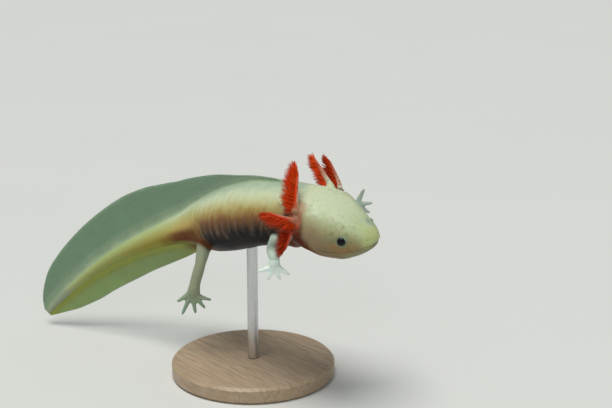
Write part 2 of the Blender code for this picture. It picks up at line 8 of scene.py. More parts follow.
import bmesh
import bpy
import numpy as np
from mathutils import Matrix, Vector


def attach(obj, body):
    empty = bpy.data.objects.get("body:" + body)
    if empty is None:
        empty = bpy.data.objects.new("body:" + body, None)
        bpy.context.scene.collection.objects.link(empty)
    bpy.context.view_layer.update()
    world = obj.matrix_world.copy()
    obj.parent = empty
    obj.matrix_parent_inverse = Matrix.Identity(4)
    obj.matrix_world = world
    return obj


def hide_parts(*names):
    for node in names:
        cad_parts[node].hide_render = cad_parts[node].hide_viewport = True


bl_info = {
    "name": "Axolotl model",
    "version": (1, 0, 0),
    "blender": (4, 5, 0),
    "location": "3D View > Sidebar > Axolotl",
    "description": "Builds the skin, fins, gills, eyes and stage of a life-size axolotl model",
    "category": "Object",
}

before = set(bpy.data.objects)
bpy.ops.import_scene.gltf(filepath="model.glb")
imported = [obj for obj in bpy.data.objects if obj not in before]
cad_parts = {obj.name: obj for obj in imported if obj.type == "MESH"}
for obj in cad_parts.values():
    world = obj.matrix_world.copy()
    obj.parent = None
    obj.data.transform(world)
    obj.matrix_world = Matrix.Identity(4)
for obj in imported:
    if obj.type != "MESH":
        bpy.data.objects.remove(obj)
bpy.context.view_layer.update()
METRES = 0.001
BODY = "root"

# Midline of the body, as in the solids
TAIL_TIP = 177.0
SNOUT_AT = np.array((56.2, 8.6, 61.5))
HEADING = [(0, 18), (26, 15), (40, 6), (56, 0), (78, 0), (90, 8), (115, 22), (140, 30), (177, 34)]
PITCH = [(0, -12), (26, -8), (40, 8), (56, 17), (78, 22), (90, 20), (115, 25), (140, 34), (177, 50)]
ROLL = [(0, 8), (26, 8.5), (40, 9), (56, 9), (78, 8), (90, 6), (115, 4), (177, 0)]

# Body sections, mouth line and costal grooves, as in the solids
HALF_WIDTH = [(0, 0.3), (0.4, 2.5), (1.2, 4.0), (3, 5.8), (6, 7.7), (10, 10.0), (15, 12.9), (20, 14.7),
              (24, 13.8), (28, 11.4), (33, 10.4), (40, 11.1), (50, 12), (65, 12.3), (78, 10.5), (86, 8.3),
              (95, 6.2), (110, 4.3), (135, 2.5), (163, 1.1), (177, 0.35)]
REACH_ABOVE = [(0, 0.3), (0.4, 1.7), (1.2, 2.8), (3, 4.2), (6, 5.5), (10, 6.9), (15, 8.7), (20, 10.1),
               (28, 10.6), (38, 10.6), (50, 11.0), (65, 10.7), (78, 9.9), (88, 8.6), (96, 6.7), (110, 4.9),
               (135, 3.0), (163, 1.4), (177, 0.35)]
REACH_BELOW = [(0, 0.3), (0.4, 1.6), (1.2, 2.8), (3, 4.7), (6, 7.0), (10, 9.0), (15, 9.2), (19, 7.6),
               (23, 7.0), (26, 8.8), (29, 11.4), (34, 12.0), (50, 12.4), (65, 12.8), (78, 11.8), (86, 9.4),
               (95, 6.4), (110, 4.3), (135, 2.6), (163, 1.3), (177, 0.35)]
ROUNDNESS = [(0, 2.1), (10, 2.3), (24, 2.35), (32, 2.1), (177, 2.0)]
MOUTH_HEIGHT = [(0, 0.0), (1.2, -0.6), (4, -2.2), (9, -3.9), (13, -3.9), (15.5, -3.0), (28, -2.5)]
MOUTH_CORNER_AT = 15.5
COSTAL_GROOVES, COSTAL_START, COSTAL_END = 11, 39.0, 78.0

# Slant of the costal grooves, the fold behind the head, and how finely the body is drawn
COSTAL_SLANT = 5.0
COSTAL_SHARPNESS = 8
NECK_FOLD_AT, NECK_FOLD_SLANT, NECK_FOLD_WIDTH, NECK_FOLD_DEPTH = 27.6, 0.25, 0.9, 0.55
SNOUT_STATIONS = (0.15, 0.4, 0.8, 1.2, 1.8)
RING_START, RING_STEP = 2.4, 0.6
BODY_SIDES = 72
SOFTENING_ROUNDS = 5

# Relief of the face: the lips' groove, upper lip and chin, the eyes' rims and the nostrils
LIP_GROOVE_WIDTH = 0.42
UPPER_LIP_ABOVE, UPPER_LIP_WIDTH, UPPER_LIP_HEIGHT = 0.95, 0.6, 0.16
CHIN_BELOW, CHIN_WIDTH, CHIN_DEPTH = 0.8, 0.5, 0.05
EYE_RIM_OFFSET, EYE_RIM_WIDTH, EYE_RIM_HEIGHT = 0.3, 0.45, 0.2
NOSTRIL_WIDTH, NOSTRIL_DEPTH = 0.42, 0.35

# Fins' heights over the body, as in the solids
UPPER_FIN = [(36, 0.6), (45, 1.2), (56, 2.4), (70, 5.4), (80, 7.5), (90, 9.6), (100, 12.4), (110, 14.6),
             (120, 15.4), (130, 14.9), (140, 13.9), (150, 12.6), (160, 10.8), (168, 7.8), (174, 4.0),
             (177, 0.7)]
LOWER_FIN = [(91, 0.6), (97, 3.6), (105, 5.8), (118, 7.6), (135, 8.8), (150, 8.8), (162, 7.0), (172, 3.2),
             (177, 0.7)]

# Fins: the solids' gap under them, where they start and end, their rows, and how they grow out of the body
FIN_GAP = 0.3
FIN_LEAD = 2.5
FIN_END_INSET = 0.5
FIN_ROWS, FIN_STATIONS = 22, 260
FIN_ROW_CROWDING = 1.5
FIN_SINK, FIN_SINK_SHARE = 1.2, 0.45
FIN_RISE_RUN, FIN_FLARE_RUN = 6.0, 16.0
FIN_START_DEPTH = 0.4
FIN_FLARE_SHARE, FIN_FLARE_LIMIT, FIN_FLARE_FADE = 0.42, 2.4, 1.3
FIN_RIPPLE_HEIGHT = 15.0
FIN_UV_SPAN = 20.0

# Eyes and nostrils, as in the solids
EYE_AT, EYE_ACROSS, EYE_ABOVE, EYE_RADIUS = 8.4, 8.5, 0.8, 1.65
NOSTRIL_AT = (1.5, 3.3, 1.6)

# Painted sheen on the snout, the eyes' look (forward, up), their pupils' bulge, and how finely they are
# drawn
PAINTED_SHEEN_AT = (4.9, 2.9, 4.7)
EYE_FORWARD, EYE_UPWARD = 0.42, 0.3
PUPIL_BULGE, PUPIL_WIDTH = 0.05, 0.6
EYE_STEPS, EYE_SIDES = 44, 72

# Gills, as in the solids: root, reach, outward bow, the filaments' lean and their greatest length
GILLS = {
    ("right", "upper"): ((25.3, 11.6, 8.4), (-1.9, 2.5, 12.6), 0.7, (-1, 0.25, 0), 4.4),
    ("right", "middle"): ((24.6, 13.0, 4.6), (-7.8, -4.4, 1.8), 0.7, (0, 0.4, -1), 4.2),
    ("right", "lower"): ((24.3, 12.6, 0.2), (0.3, -3.5, -5.3), 0.7, (-1, 0.3, 0), 3.4),
    ("left", "upper"): ((25.4, 10.4, 8.8), (-6.2, -1.7, 9.1), 0.7, (-1, 0, -0.3), 3.2),
    ("left", "middle"): ((23.8, 13.0, 4.6), (-7.5, 1.9, 10.5), 2.2, (-1, -0.2, 0), 3.3),
    ("left", "lower"): ((24.4, 12.6, 1.5), (-7.7, 3.8, 1.1), 0.7, (-0.3, 0.8, -0.2), 3.0),
}

# Gills: how lit each pair is painted, the middle and lower in painted shade, how it grows out of the head,
# and its stalk's form
GILL_PAINTED_LIGHT = {"upper": 1.0, "middle": 0.45, "lower": 0.2}
GILL_ROOT_WAY = (0.5, 0.8)
GILL_SINK = 1.2
GILL_FOOT_SHARE = 0.42
GILL_FOOT_FLARE = [(0, 2.1), (0.12, 1.6), (0.25, 1.18), (GILL_FOOT_SHARE, 0.88)]
GILL_BACK_TURN = (-0.45, 0.55)
STALK_TIP_RADIUS, STALK_EXTRA_RADIUS, STALK_TAPER = 0.42, 0.85, 1.1
STALK_POINT_FROM, STALK_POINT_SHARE, STALK_POINT = 0.93, 0.55, 0.2
STALK_RIBS, STALK_RIB_DEPTH = 62, 0.05
STALK_SIDES, STALK_STEPS, STALK_FLATNESS = 26, 44, 0.85

# Filaments: their start, lengths and widths, how they fan out, and how far each one strays
FILAMENTS_START = 0.03
FILAMENT_SHARE = [(0, 0.75), (0.3, 1.0), (0.8, 1.0), (1, 0.72)]
FILAMENT_LENGTH_RANGE, FILAMENT_WIDTH_RANGE = (0.8, 1.1), (0.75, 1.25)
FILAMENT_ROOT_DEPTH = 0.5
FILAMENT_FAN, FILAMENT_FAN_STRAY = 0.85, 0.13
FILAMENT_TIPWARD = (0.2, 1.1)
FILAMENT_AIM_STRAY = 0.07
FILAMENT_LEAN_ALONG, FILAMENT_LEAN_STRAY = 0.8, 0.3
FILAMENT_SIDES, FILAMENT_STEPS = 6, 7
PATH_STEPS = 60

# Legs and feet, as in the solids
LEGS = {
    "foreleg_right": ((34.0, -8.6, -5.0), [(2.9, -5.0, -3.2), (5.2, -3.3, -1.5)], (2.4, 2.1, 2.0)),
    "foreleg_left": ((35.6, 8.6, -4.5), [(3.6, 7.0, -1.2), (4.2, 4.7, 3.4)], (3.0, 2.1, 1.75)),
    "hindleg_right": ((80, -7.0, -5.5), [(2.6, -4.4, -8.0), (-1.1, -1.6, -6.9)], (3.0, 2.3, 2.3)),
    "hindleg_left": ((80, 7.0, -5.0), [(-5.5, 4.6, -4.2), (-7.4, -1.4, -4.6)], (3.8, 2.9, 2.3)),
}
WRIST_RUN = 1.8
TOWARD_PHOTO_RIGHT = (0.643, 0.766, 0.0)
FEET = {
    "forefoot_right": ((0.05, -0.05, -1.0), TOWARD_PHOTO_RIGHT, 2.0, 2.0,
                       [(-70, 4.0), (-24, 3.6), (22, 3.6), (56, 4.2)]),
    "forefoot_left": ((0.65, 0.74, 0.15), (0.1, 0.1, -1.0), 2.6, 2.1,
                      [(-56, 5.0), (0, 4.2), (38, 3.6), (70, 3.4)]),
    "hindfoot_right": ((-0.1, -0.15, -1.0), TOWARD_PHOTO_RIGHT, 3.4, 2.7,
                       [(-46, 4.4), (-14, 7.4), (18, 5.8), (48, 5.0), (84, 4.4)]),
    "hindfoot_left": ((-0.8, -0.15, -0.6), (-0.3, 0.95, 0.1), 3.4, 2.7,
                      [(-62, 4.8), (-32, 5.8), (-4, 6.8), (26, 6.6), (56, 4.8)]),
}
FLESH_NODES = ["head", "neck", "torso", "tail", *LEGS, *FEET]

# Legs, palms and digits: how flat they are, how they meet, and how finely they are drawn
LEG_FLATNESS, DIGIT_FLATNESS = 0.86, 0.9
WRIST_GAP, WRIST_SINK = 0.3, 1.2
PALM_START, PALM_END = 0.2, 0.7
KNUCKLE_SINK = (0.5, 0.6)
DIGIT_ROOT_HALF, DIGIT_OVERRUN, DIGIT_BOW, DIGIT_POINT = 0.85, 0.8, 0.25, 0.12
LEG_STEPS, LEG_SIDES = 36, 28
PALM_STEPS, PALM_SIDES = 16, 24
DIGIT_STEPS, DIGIT_SIDES = 14, 14

# Camera: the view's direction, its lens, and where the snout falls in the picture
CAMERA_AZIMUTH, CAMERA_ELEVATION = 50.0, 15.0
PICTURE = (612, 408)
FOCAL_PIXELS = 1275.0
MM_PER_PIXEL_AT_SNOUT = 0.33
SNOUT_PIXEL = (376.5, 242.5)
SENSOR_WIDTH = 36.0
NEAREST_SEEN, FARTHEST_SEEN = 0.01, 20.0

# Stage: half the floor's width in millimetres, and the lights, in metres and in linear light
FLOOR_REACH = 4000
FLOOR_DUST_SHARE = 0.96
WORLD_COLOUR, WORLD_STRENGTH = (0.86, 0.9, 0.92, 1.0), 0.27
KEY_COLOUR, KEY_AIM, KEY_SPREAD_DEGREES = (1.0, 0.99, 0.95), (-0.05, 0.22, -1.0), 35.0
SIDE_LIGHT_AT, SIDE_LIGHT_AIM = (0.75, -0.75, 0.7), (0.0, 0.0, 0.06)
SIDE_LIGHT_SIZE, SIDE_LIGHT_POWER, SIDE_LIGHT_COLOUR = 0.3, 1.2, (0.95, 0.98, 1.0)


def unit(v):
    v = np.asarray(v, float)
    return v / np.linalg.norm(v, axis=-1, keepdims=True)


def smooth_step(value, low, high):
    t = np.clip((value - low) / (high - low), 0.0, 1.0)
    return t * t * (3 - 2 * t)


def bell(value, width):
    return np.exp(-((value / width) ** 2))


def profile(pairs):
    """A smooth curve through (station, value) pairs that never overshoots them. It takes arrays."""
    xs, ys = (np.array(v, float) for v in zip(*pairs))
    steps = np.diff(xs)
    rises = np.diff(ys) / steps
    slopes = np.zeros(len(xs))
    slopes[0], slopes[-1] = rises[0], rises[-1]
    for i in range(1, len(xs) - 1):
        if rises[i - 1] * rises[i] > 0:
            a, b = 2 * steps[i] + steps[i - 1], steps[i] + 2 * steps[i - 1]
            slopes[i] = (a + b) / (a / rises[i - 1] + b / rises[i])

    def value(x):
        x = np.clip(x, xs[0], xs[-1])
        i = np.clip(np.searchsorted(xs, x, side="right") - 1, 0, len(xs) - 2)
        t = (x - xs[i]) / steps[i]
        start = (1 + 2 * t) * (1 - t) ** 2 * ys[i] + t * (1 - t) ** 2 * steps[i] * slopes[i]
        return start + t * t * (3 - 2 * t) * ys[i + 1] + t * t * (t - 1) * steps[i] * slopes[i + 1]

    return value


half_width, reach_above, reach_below = profile(HALF_WIDTH), profile(REACH_ABOVE), profile(REACH_BELOW)
roundness, mouth_height = profile(ROUNDNESS), profile(MOUTH_HEIGHT)
upper_fin, lower_fin = profile(UPPER_FIN), profile(LOWER_FIN)
filament_share = profile(FILAMENT_SHARE)


class Spine:
    """The body's midline with its forward, left and up directions."""

    STEP = 0.25

    def __init__(self):
        self.stations = np.arange(0, TAIL_TIP + self.STEP / 2, self.STEP)
        h, p, r = (np.radians(profile(pairs)(self.stations)) for pairs in (HEADING, PITCH, ROLL))
        self.forward = np.stack([np.cos(p) * np.cos(h), np.cos(p) * np.sin(h), np.sin(p)], 1)
        level_left = unit(np.cross((0, 0, 1), self.forward))
        level_up = np.cross(self.forward, level_left)
        self.left = level_left * np.cos(r)[:, None] + level_up * np.sin(r)[:, None]
        self.up = np.cross(self.forward, self.left)
        moves = (self.forward[1:] + self.forward[:-1]) / 2 * self.STEP
        self.centre = SNOUT_AT - np.vstack([np.zeros(3), np.cumsum(moves, axis=0)])

    def axes(self, s):
        read = [np.stack([np.interp(s, self.stations, rows[:, k]) for k in range(3)], -1)
                for rows in (self.centre, self.forward, self.left, self.up)]
        return read[0], unit(read[1]), unit(read[2]), unit(read[3])

    def point(self, s, across=0.0, above=0.0):
        centre, _, left, up = self.axes(s)
        return centre + np.asarray(across)[..., None] * left + np.asarray(above)[..., None] * up

    def locate(self, points):
        """Station, across and above of points, by the nearest place on the midline."""
        nearest = np.empty(len(points), int)
        for start in range(0, len(points), 4000):
            block = points[start:start + 4000, None, :] - self.centre[None, ::2, :]
            nearest[start:start + 4000] = 2 * np.argmin((block ** 2).sum(2), axis=1)
        offset = points - self.centre[nearest]
        ahead = (offset * self.forward[nearest]).sum(1)
        station = self.stations[nearest] - np.clip(ahead, -1.0, 1.0)
        return station, (offset * self.left[nearest]).sum(1), (offset * self.up[nearest]).sum(1)


SPINE = Spine()


def outline(s, angle):
    """Across and above on the body's outline at an angle from the back's ridge."""
    power = 2 / roundness(s)
    sine, cosine = np.sin(angle), np.cos(angle)
    reach = np.where(cosine > 0, reach_above(s), reach_below(s))
    across = half_width(s) * np.sign(sine) * np.abs(sine) ** power
    return across, reach * np.sign(cosine) * np.abs(cosine) ** power


def costal_share(s, height):
    """How deep a place lies in the grooves that slant back down the flank, from 0 between them to 1."""
    spacing = (COSTAL_END - COSTAL_START) / (COSTAL_GROOVES - 1)
    phase = (s - COSTAL_START - COSTAL_SLANT * np.clip(-height, 0.0, 1.0)) / spacing
    near = np.cos(np.pi * (phase - np.round(phase))) ** COSTAL_SHARPNESS
    begun = smooth_step(s, COSTAL_START - spacing, COSTAL_START)
    return near * (begun * smooth_step(-s, -COSTAL_END - spacing, -COSTAL_END))


def new_object(name, verts, faces, smooth=True):
    """An object in metres from points in millimetres, with its faces pointing out."""
    mesh = bpy.data.meshes.new(name)
    mesh.from_pydata([tuple(METRES * c for c in v) for v in verts], [], faces)
    shell = bmesh.new()
    shell.from_mesh(mesh)
    bmesh.ops.recalc_face_normals(shell, faces=shell.faces)
    shell.to_mesh(mesh)
    shell.free()
    if smooth:
        mesh.shade_smooth()
    obj = bpy.data.objects.new(name, mesh)
    bpy.context.scene.collection.objects.link(obj)
    return obj


def grid_faces(rows, columns):
    """Quads of a tube of rings: rows rings of columns points each."""
    faces = []
    for r in range(rows - 1):
        for k in range(columns):
            a, b = r * columns + k, r * columns + (k + 1) % columns
            faces.append((a, b, b + columns, a + columns))
    return faces


def tube(rings, first=None, last=None):
    """Points and faces of a closed tube through rings of points."""
    columns = len(rings[0])
    verts = [p for ring in rings for p in ring]
    faces = grid_faces(len(rings), columns)
    for start, point, ring in ((0, first, rings[0]), ((len(rings) - 1) * columns, last, rings[-1])):
        verts.append(np.mean(ring, axis=0) if point is None else point)
        faces += [(start + k, start + (k + 1) % columns, len(verts) - 1) for k in range(columns)]
    return verts, faces


def curve_points(points, count):
    """Points spread evenly along a smooth curve through the given ones."""
    points = np.array(points, float)
    runs = np.concatenate([[0.0], np.cumsum(np.linalg.norm(np.diff(points, axis=0), axis=1))])
    where = np.linspace(0.0, runs[-1], count)
    return np.stack([profile(list(zip(runs, points[:, axis])))(where) for axis in range(3)], 1)


def across_pair(tangent, hint):
    """Two unit directions square to the tangent, the first as near the hint as can be."""
    side = unit(np.asarray(hint, float) - tangent * np.dot(hint, tangent))
    return side, np.cross(tangent, side)


def sweep(path, wide, thick, hint, sides):
    """Rings round a path with a half width toward the hint and a half thickness square to it."""
    turn = np.linspace(0, 2 * np.pi, sides, endpoint=False)
    rings = []
    for i, centre in enumerate(path):
        tangent = unit(path[min(i + 1, len(path) - 1)] - path[max(i - 1, 0)])
        a, b = across_pair(tangent, hint)
        rings.append(centre + wide[i] * np.cos(turn)[:, None] * a + thick[i] * np.sin(turn)[:, None] * b)
    return rings


def set_values(mesh, name, values):
    """Writes one number per point for the materials to read."""
    layer = mesh.attributes.new(name, "FLOAT", "POINT")
    layer.data.foreach_set("value", np.asarray(values, np.float32))


def coordinates(mesh):
    """The points of a mesh, in millimetres."""
    flat = np.empty(len(mesh.vertices) * 3, np.float32)
    mesh.vertices.foreach_get("co", flat)
    return flat.reshape(-1, 3).astype(float) / METRES


def freeze(obj):
    """Applies an object's modifiers to its mesh."""
    depsgraph = bpy.context.evaluated_depsgraph_get()
    mesh = bpy.data.meshes.new_from_object(obj.evaluated_get(depsgraph))
    obj.modifiers.clear()
    obj.data = mesh
    return obj


def finish_piece(obj, replaced, material):
    """Gives a piece its material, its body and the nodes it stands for."""
    obj.data.materials.clear()
    obj.data.materials.append(material)
    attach(obj, BODY)
    if replaced:
        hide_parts(*replaced)


class Nodes:
    """Short ways to make and link the nodes of one material."""

    def __init__(self, name):
        self.material = bpy.data.materials.new(name)
        self.material.use_nodes = True
        self.tree = self.material.node_tree
        self.shader = self.tree.nodes["Principled BSDF"]

    def link(self, value, socket):
        if isinstance(value, bpy.types.NodeSocket):
            self.tree.links.new(value, socket)
        elif value is not None:
            socket.default_value = value

    def set(self, **values):
        for name, value in values.items():
            self.link(value, self.shader.inputs[name.replace("_", " ")])

    def number(self, name):
        node = self.tree.nodes.new("ShaderNodeAttribute")
        node.attribute_name = name
        return node.outputs["Fac"]

    def place(self, scale=(1, 1, 1), uv=None):
        """Object coordinates, or a UV map's, scaled."""
        if uv:
            source = self.tree.nodes.new("ShaderNodeUVMap")
            source.uv_map = uv
            start = source.outputs["UV"]
        else:
            start = self.tree.nodes.new("ShaderNodeTexCoord").outputs["Object"]
        mapping = self.tree.nodes.new("ShaderNodeMapping")
        mapping.inputs["Scale"].default_value = scale
        self.tree.links.new(start, mapping.inputs["Vector"])
        return mapping.outputs["Vector"]

    def pair(self, x, y, scale):
        """Two numbers, scaled, as the coordinates of a pattern."""
        node = self.tree.nodes.new("ShaderNodeCombineXYZ")
        for socket, value, share in zip(node.inputs, (x, y), scale):
            self.link(self.math("MULTIPLY", value, share), socket)
        return node.outputs[0]

    def noise(self, vector, scale, detail=3.0, roughness=0.55):
        node = self.tree.nodes.new("ShaderNodeTexNoise")
        self.link(vector, node.inputs["Vector"])
        node.inputs["Scale"].default_value = scale
        node.inputs["Detail"].default_value = detail
        node.inputs["Roughness"].default_value = roughness
        return node.outputs["Fac"]

    def cells(self, vector, scale, feature="F1"):
        node = self.tree.nodes.new("ShaderNodeTexVoronoi")
        node.feature = feature
        self.link(vector, node.inputs["Vector"])
        node.inputs["Scale"].default_value = scale
        return node.outputs["Distance"]

    def math(self, operation, a, b=None, c=None, clamp=False):
        node = self.tree.nodes.new("ShaderNodeMath")
        node.operation = operation
        node.use_clamp = clamp
        for value, socket in zip((a, b, c), node.inputs):
            self.link(value, socket)
        return node.outputs[0]

    def times(self, product, *others):
        """The product of two or more values."""
        for other in others:
            product = self.math("MULTIPLY", product, other)
        return product

    def scaled(self, value, factor, offset):
        """The value times a factor, plus an offset."""
        return self.math("MULTIPLY_ADD", value, factor, offset)

    def span(self, value, low, high, out_low=0.0, out_high=1.0):
        """The value's place between low and high, smoothed, as a number from out_low to out_high."""
        node = self.tree.nodes.new("ShaderNodeMapRange")
        node.interpolation_type = "SMOOTHSTEP"
        self.link(value, node.inputs["Value"])
        limits = {"From Min": low, "From Max": high, "To Min": out_low, "To Max": out_high}
        for name, number in limits.items():
            node.inputs[name].default_value = number
        return node.outputs["Result"]

    def ramp(self, value, stops):
        """A colour ramp. Stops are (place, colour)."""
        node = self.tree.nodes.new("ShaderNodeValToRGB")
        self.link(value, node.inputs["Fac"])
        elements = node.color_ramp.elements
        while len(elements) < len(stops):
            elements.new(1.0)
        for element, (place, colour) in zip(elements, stops):
            element.position = place
            element.color = (*colour[:3], 1.0)
        return node.outputs["Color"]

    def mix(self, share, a, b):
        """Colour a where the share is 0 and colour b where it is 1."""
        node = self.tree.nodes.new("ShaderNodeMix")
        node.data_type = "RGBA"
        self.link(share, node.inputs["Factor"])
        for value, socket in ((a, node.inputs[6]), (b, node.inputs[7])):
            self.link((*value[:3], 1.0) if isinstance(value, (tuple, list)) else value, socket)
        return node.outputs[2]

    def bump(self, height, distance, strength=1.0, normal=None):
        node = self.tree.nodes.new("ShaderNodeBump")
        self.link(height, node.inputs["Height"])
        node.inputs["Distance"].default_value = distance
        node.inputs["Strength"].default_value = strength
        self.link(normal, node.inputs["Normal"])
        return node.outputs["Normal"]

    def group(self, tree, **values):
        node = self.tree.nodes.new("ShaderNodeGroup")
        node.node_tree = tree
        for name, value in values.items():
            self.link(value, node.inputs[name.replace("_", " ")])
        return node


def moist_surface_group():
    """Fine pores and soft wrinkles of wet amphibian skin: a normal, and how rough each place is."""
    found = bpy.data.node_groups.get("Moist surface")
    if found:
        return found
    tree = bpy.data.node_groups.new("Moist surface", "ShaderNodeTree")
    wanted = [("Pore scale", 1400.0), ("Wrinkle scale", 420.0), ("Depth", 0.00006), ("Roughness", 0.34)]
    for name, value in wanted:
        tree.interface.new_socket(name, in_out="INPUT", socket_type="NodeSocketFloat").default_value = value
    tree.interface.new_socket("Normal", in_out="OUTPUT", socket_type="NodeSocketVector")
    tree.interface.new_socket("Roughness", in_out="OUTPUT", socket_type="NodeSocketFloat")
    entry, leave = tree.nodes.new("NodeGroupInput"), tree.nodes.new("NodeGroupOutput")
    place = tree.nodes.new("ShaderNodeTexCoord")
    heights = []
    for name, kind, output in (("Pore scale", "ShaderNodeTexVoronoi", "Distance"),
                               ("Wrinkle scale", "ShaderNodeTexNoise", "Fac")):
        pattern = tree.nodes.new(kind)
        tree.links.new(place.outputs["Object"], pattern.inputs["Vector"])
        tree.links.new(entry.outputs[name], pattern.inputs["Scale"])
        heights.append(pattern.outputs[output])
    total = tree.nodes.new("ShaderNodeMath")
    total.operation = "ADD"
    tree.links.new(heights[0], total.inputs[0])
    tree.links.new(heights[1], total.inputs[1])
    bump = tree.nodes.new("ShaderNodeBump")
    bump.inputs["Strength"].default_value = 0.6
    tree.links.new(total.outputs[0], bump.inputs["Height"])
    tree.links.new(entry.outputs["Depth"], bump.inputs["Distance"])
    tree.links.new(bump.outputs["Normal"], leave.inputs["Normal"])
    vary = tree.nodes.new("ShaderNodeMath")
    vary.operation = "MULTIPLY_ADD"
    vary.inputs[1].default_value = 0.14
    tree.links.new(heights[1], vary.inputs[0])
    tree.links.new(entry.outputs["Roughness"], vary.inputs[2])
    tree.links.new(vary.outputs[0], leave.inputs["Roughness"])
    return tree


class SkinSettings(bpy.types.PropertyGroup):
    grain: bpy.props.FloatProperty(name="Grain", description="Edge of the cells that the skin is fused from",
                                   default=0.00038, min=0.0001, unit="LENGTH")
    groove: bpy.props.FloatProperty(name="Costal grooves", default=0.00022, unit="LENGTH",
                                    description="Depth of the grooves down the flanks")
    mouth: bpy.props.FloatProperty(name="Mouth line", description="Depth of the groove between the lips",
                                   default=0.00022, unit="LENGTH")
    cream: bpy.props.FloatVectorProperty(name="Cream", default=(0.60, 0.68, 0.46), size=3, subtype="COLOR",
                                         description="Colour of the back and the top of the head")
    belly: bpy.props.FloatVectorProperty(name="Belly", default=(0.013, 0.011, 0.014), size=3,
                                         subtype="COLOR", description="Dark colour of the belly")
    moisture: bpy.props.FloatProperty(name="Moisture", description="Weight of the wet coat over the skin",
                                      default=0.09, min=0.0, max=1.0, subtype="FACTOR")


class FinSettings(bpy.types.PropertyGroup):
    edge: bpy.props.FloatProperty(name="Edge thickness", description="Thickness of a fin along its edge",
                                  default=0.00022, unit="LENGTH")
    ripple: bpy.props.FloatProperty(name="Ripple", description="How far the edge sways to each side",
                                    default=0.00045, unit="LENGTH")
    colour: bpy.props.FloatVectorProperty(name="Upper colour", description="Colour of the clear upper fin",
                                          default=(0.055, 0.225, 0.065), size=3, subtype="COLOR")
    under_colour: bpy.props.FloatVectorProperty(name="Lower colour", description="Colour of the lower fin",
                                                default=(0.24, 0.38, 0.085), size=3, subtype="COLOR")
    cover: bpy.props.FloatProperty(name="Cover", description="How much each face of a fin hides",
                                   default=0.64, min=0.0, max=1.0, subtype="FACTOR")


class GillSettings(bpy.types.PropertyGroup):
    density: bpy.props.FloatProperty(name="Density", default=4.6, min=0.5,
                                     description="Filaments in each row, per millimetre of stalk")
    rows: bpy.props.IntProperty(name="Rows", description="Rows of filaments on a gill", default=6, min=1)
    fullness: bpy.props.FloatProperty(name="Fullness", description="Scales the length of all filaments",
                                      default=1.15, min=0.1, max=1.3)
    root_radius: bpy.props.FloatProperty(name="Filament root", default=0.00019, unit="LENGTH",
                                         description="Radius of a filament at its root")
    tip_radius: bpy.props.FloatProperty(name="Filament tip", description="Radius of a filament at its tip",
                                        default=0.00006, unit="LENGTH")
    droop: bpy.props.FloatProperty(name="Droop", description="How far a filament's tip bends aside",
                                   default=0.0009, unit="LENGTH")
    seed: bpy.props.IntProperty(name="Seed", description="Varies the filaments", default=7)
    colour: bpy.props.FloatVectorProperty(name="Red", description="Colour of the gills",
                                          default=(0.78, 0.052, 0.004), size=3, subtype="COLOR")


class EyeSettings(bpy.types.PropertyGroup):
    radius: bpy.props.FloatProperty(name="Radius", description="Radius of the eyeball",
                                    default=EYE_RADIUS * METRES, unit="LENGTH")
    ring: bpy.props.FloatVectorProperty(name="Ring", description="Colour of the thin ring round the pupil",
                                        default=(0.42, 0.62, 0.5), size=3, subtype="COLOR")


class StageSettings(bpy.types.PropertyGroup):
    floor: bpy.props.FloatVectorProperty(name="Floor", description="Colour of the floor",
                                         default=(0.72, 0.73, 0.71), size=3, subtype="COLOR")
    key: bpy.props.FloatProperty(name="Key light", description="Strength of the light from above",
                                 default=2.3)


def body_shell(groove):
    """Points and faces of head, trunk and tail as one closed form, in millimetres."""
    stations = np.concatenate([SNOUT_STATIONS, np.arange(RING_START, TAIL_TIP - 0.3, RING_STEP)])
    angles = np.linspace(0, 2 * np.pi, BODY_SIDES, endpoint=False)
    rings = []
    for s in stations:
        across, above = outline(np.full(angles.shape, s), angles)
        flank = smooth_step(np.abs(np.sin(angles)), 0.3, 0.75) * smooth_step(np.cos(angles), -0.8, -0.2)
        shrink = 1 - groove * costal_share(s, np.cos(angles)) * flank / max(half_width(s), 1.0)
        slim = 0.35 * smooth_step(s, 150.0, 170.0)
        rings.append(SPINE.point(np.full(angles.shape, s), across * shrink + slim * np.sin(angles),
                                 above * shrink + slim * np.cos(angles)))
    snout = SPINE.point(0.0) - SPINE.axes(0.0)[1] * 0.2
    return tube(rings, first=snout, last=SPINE.point(TAIL_TIP - 0.2))


def leg_path(name, count):
    (at, across, above), runs, _ = LEGS[name]
    points = [SPINE.point(at, across, above)]
    for run in runs:
        points.append(points[-1] + np.array(run, float))
    points.append(points[-1] + WRIST_RUN * unit(FEET[name.replace("leg", "foot")][0]))
    return curve_points(points, count)


def leg_shell(name):
    """A leg with a full upper part, a narrower joint and a slim wrist."""
    path = leg_path(name, LEG_STEPS)
    root, middle, wrist = LEGS[name][2]
    sizes = profile([(0, root * 1.1), (0.25, root * 0.92), (0.52, middle * 0.95), (0.68, middle * 0.98),
                     (0.9, wrist * 0.95), (1, wrist)])(np.linspace(0, 1, LEG_STEPS))
    return tube(sweep(path, sizes, LEG_FLATNESS * sizes, SPINE.axes(LEGS[name][0][0])[1], LEG_SIDES))


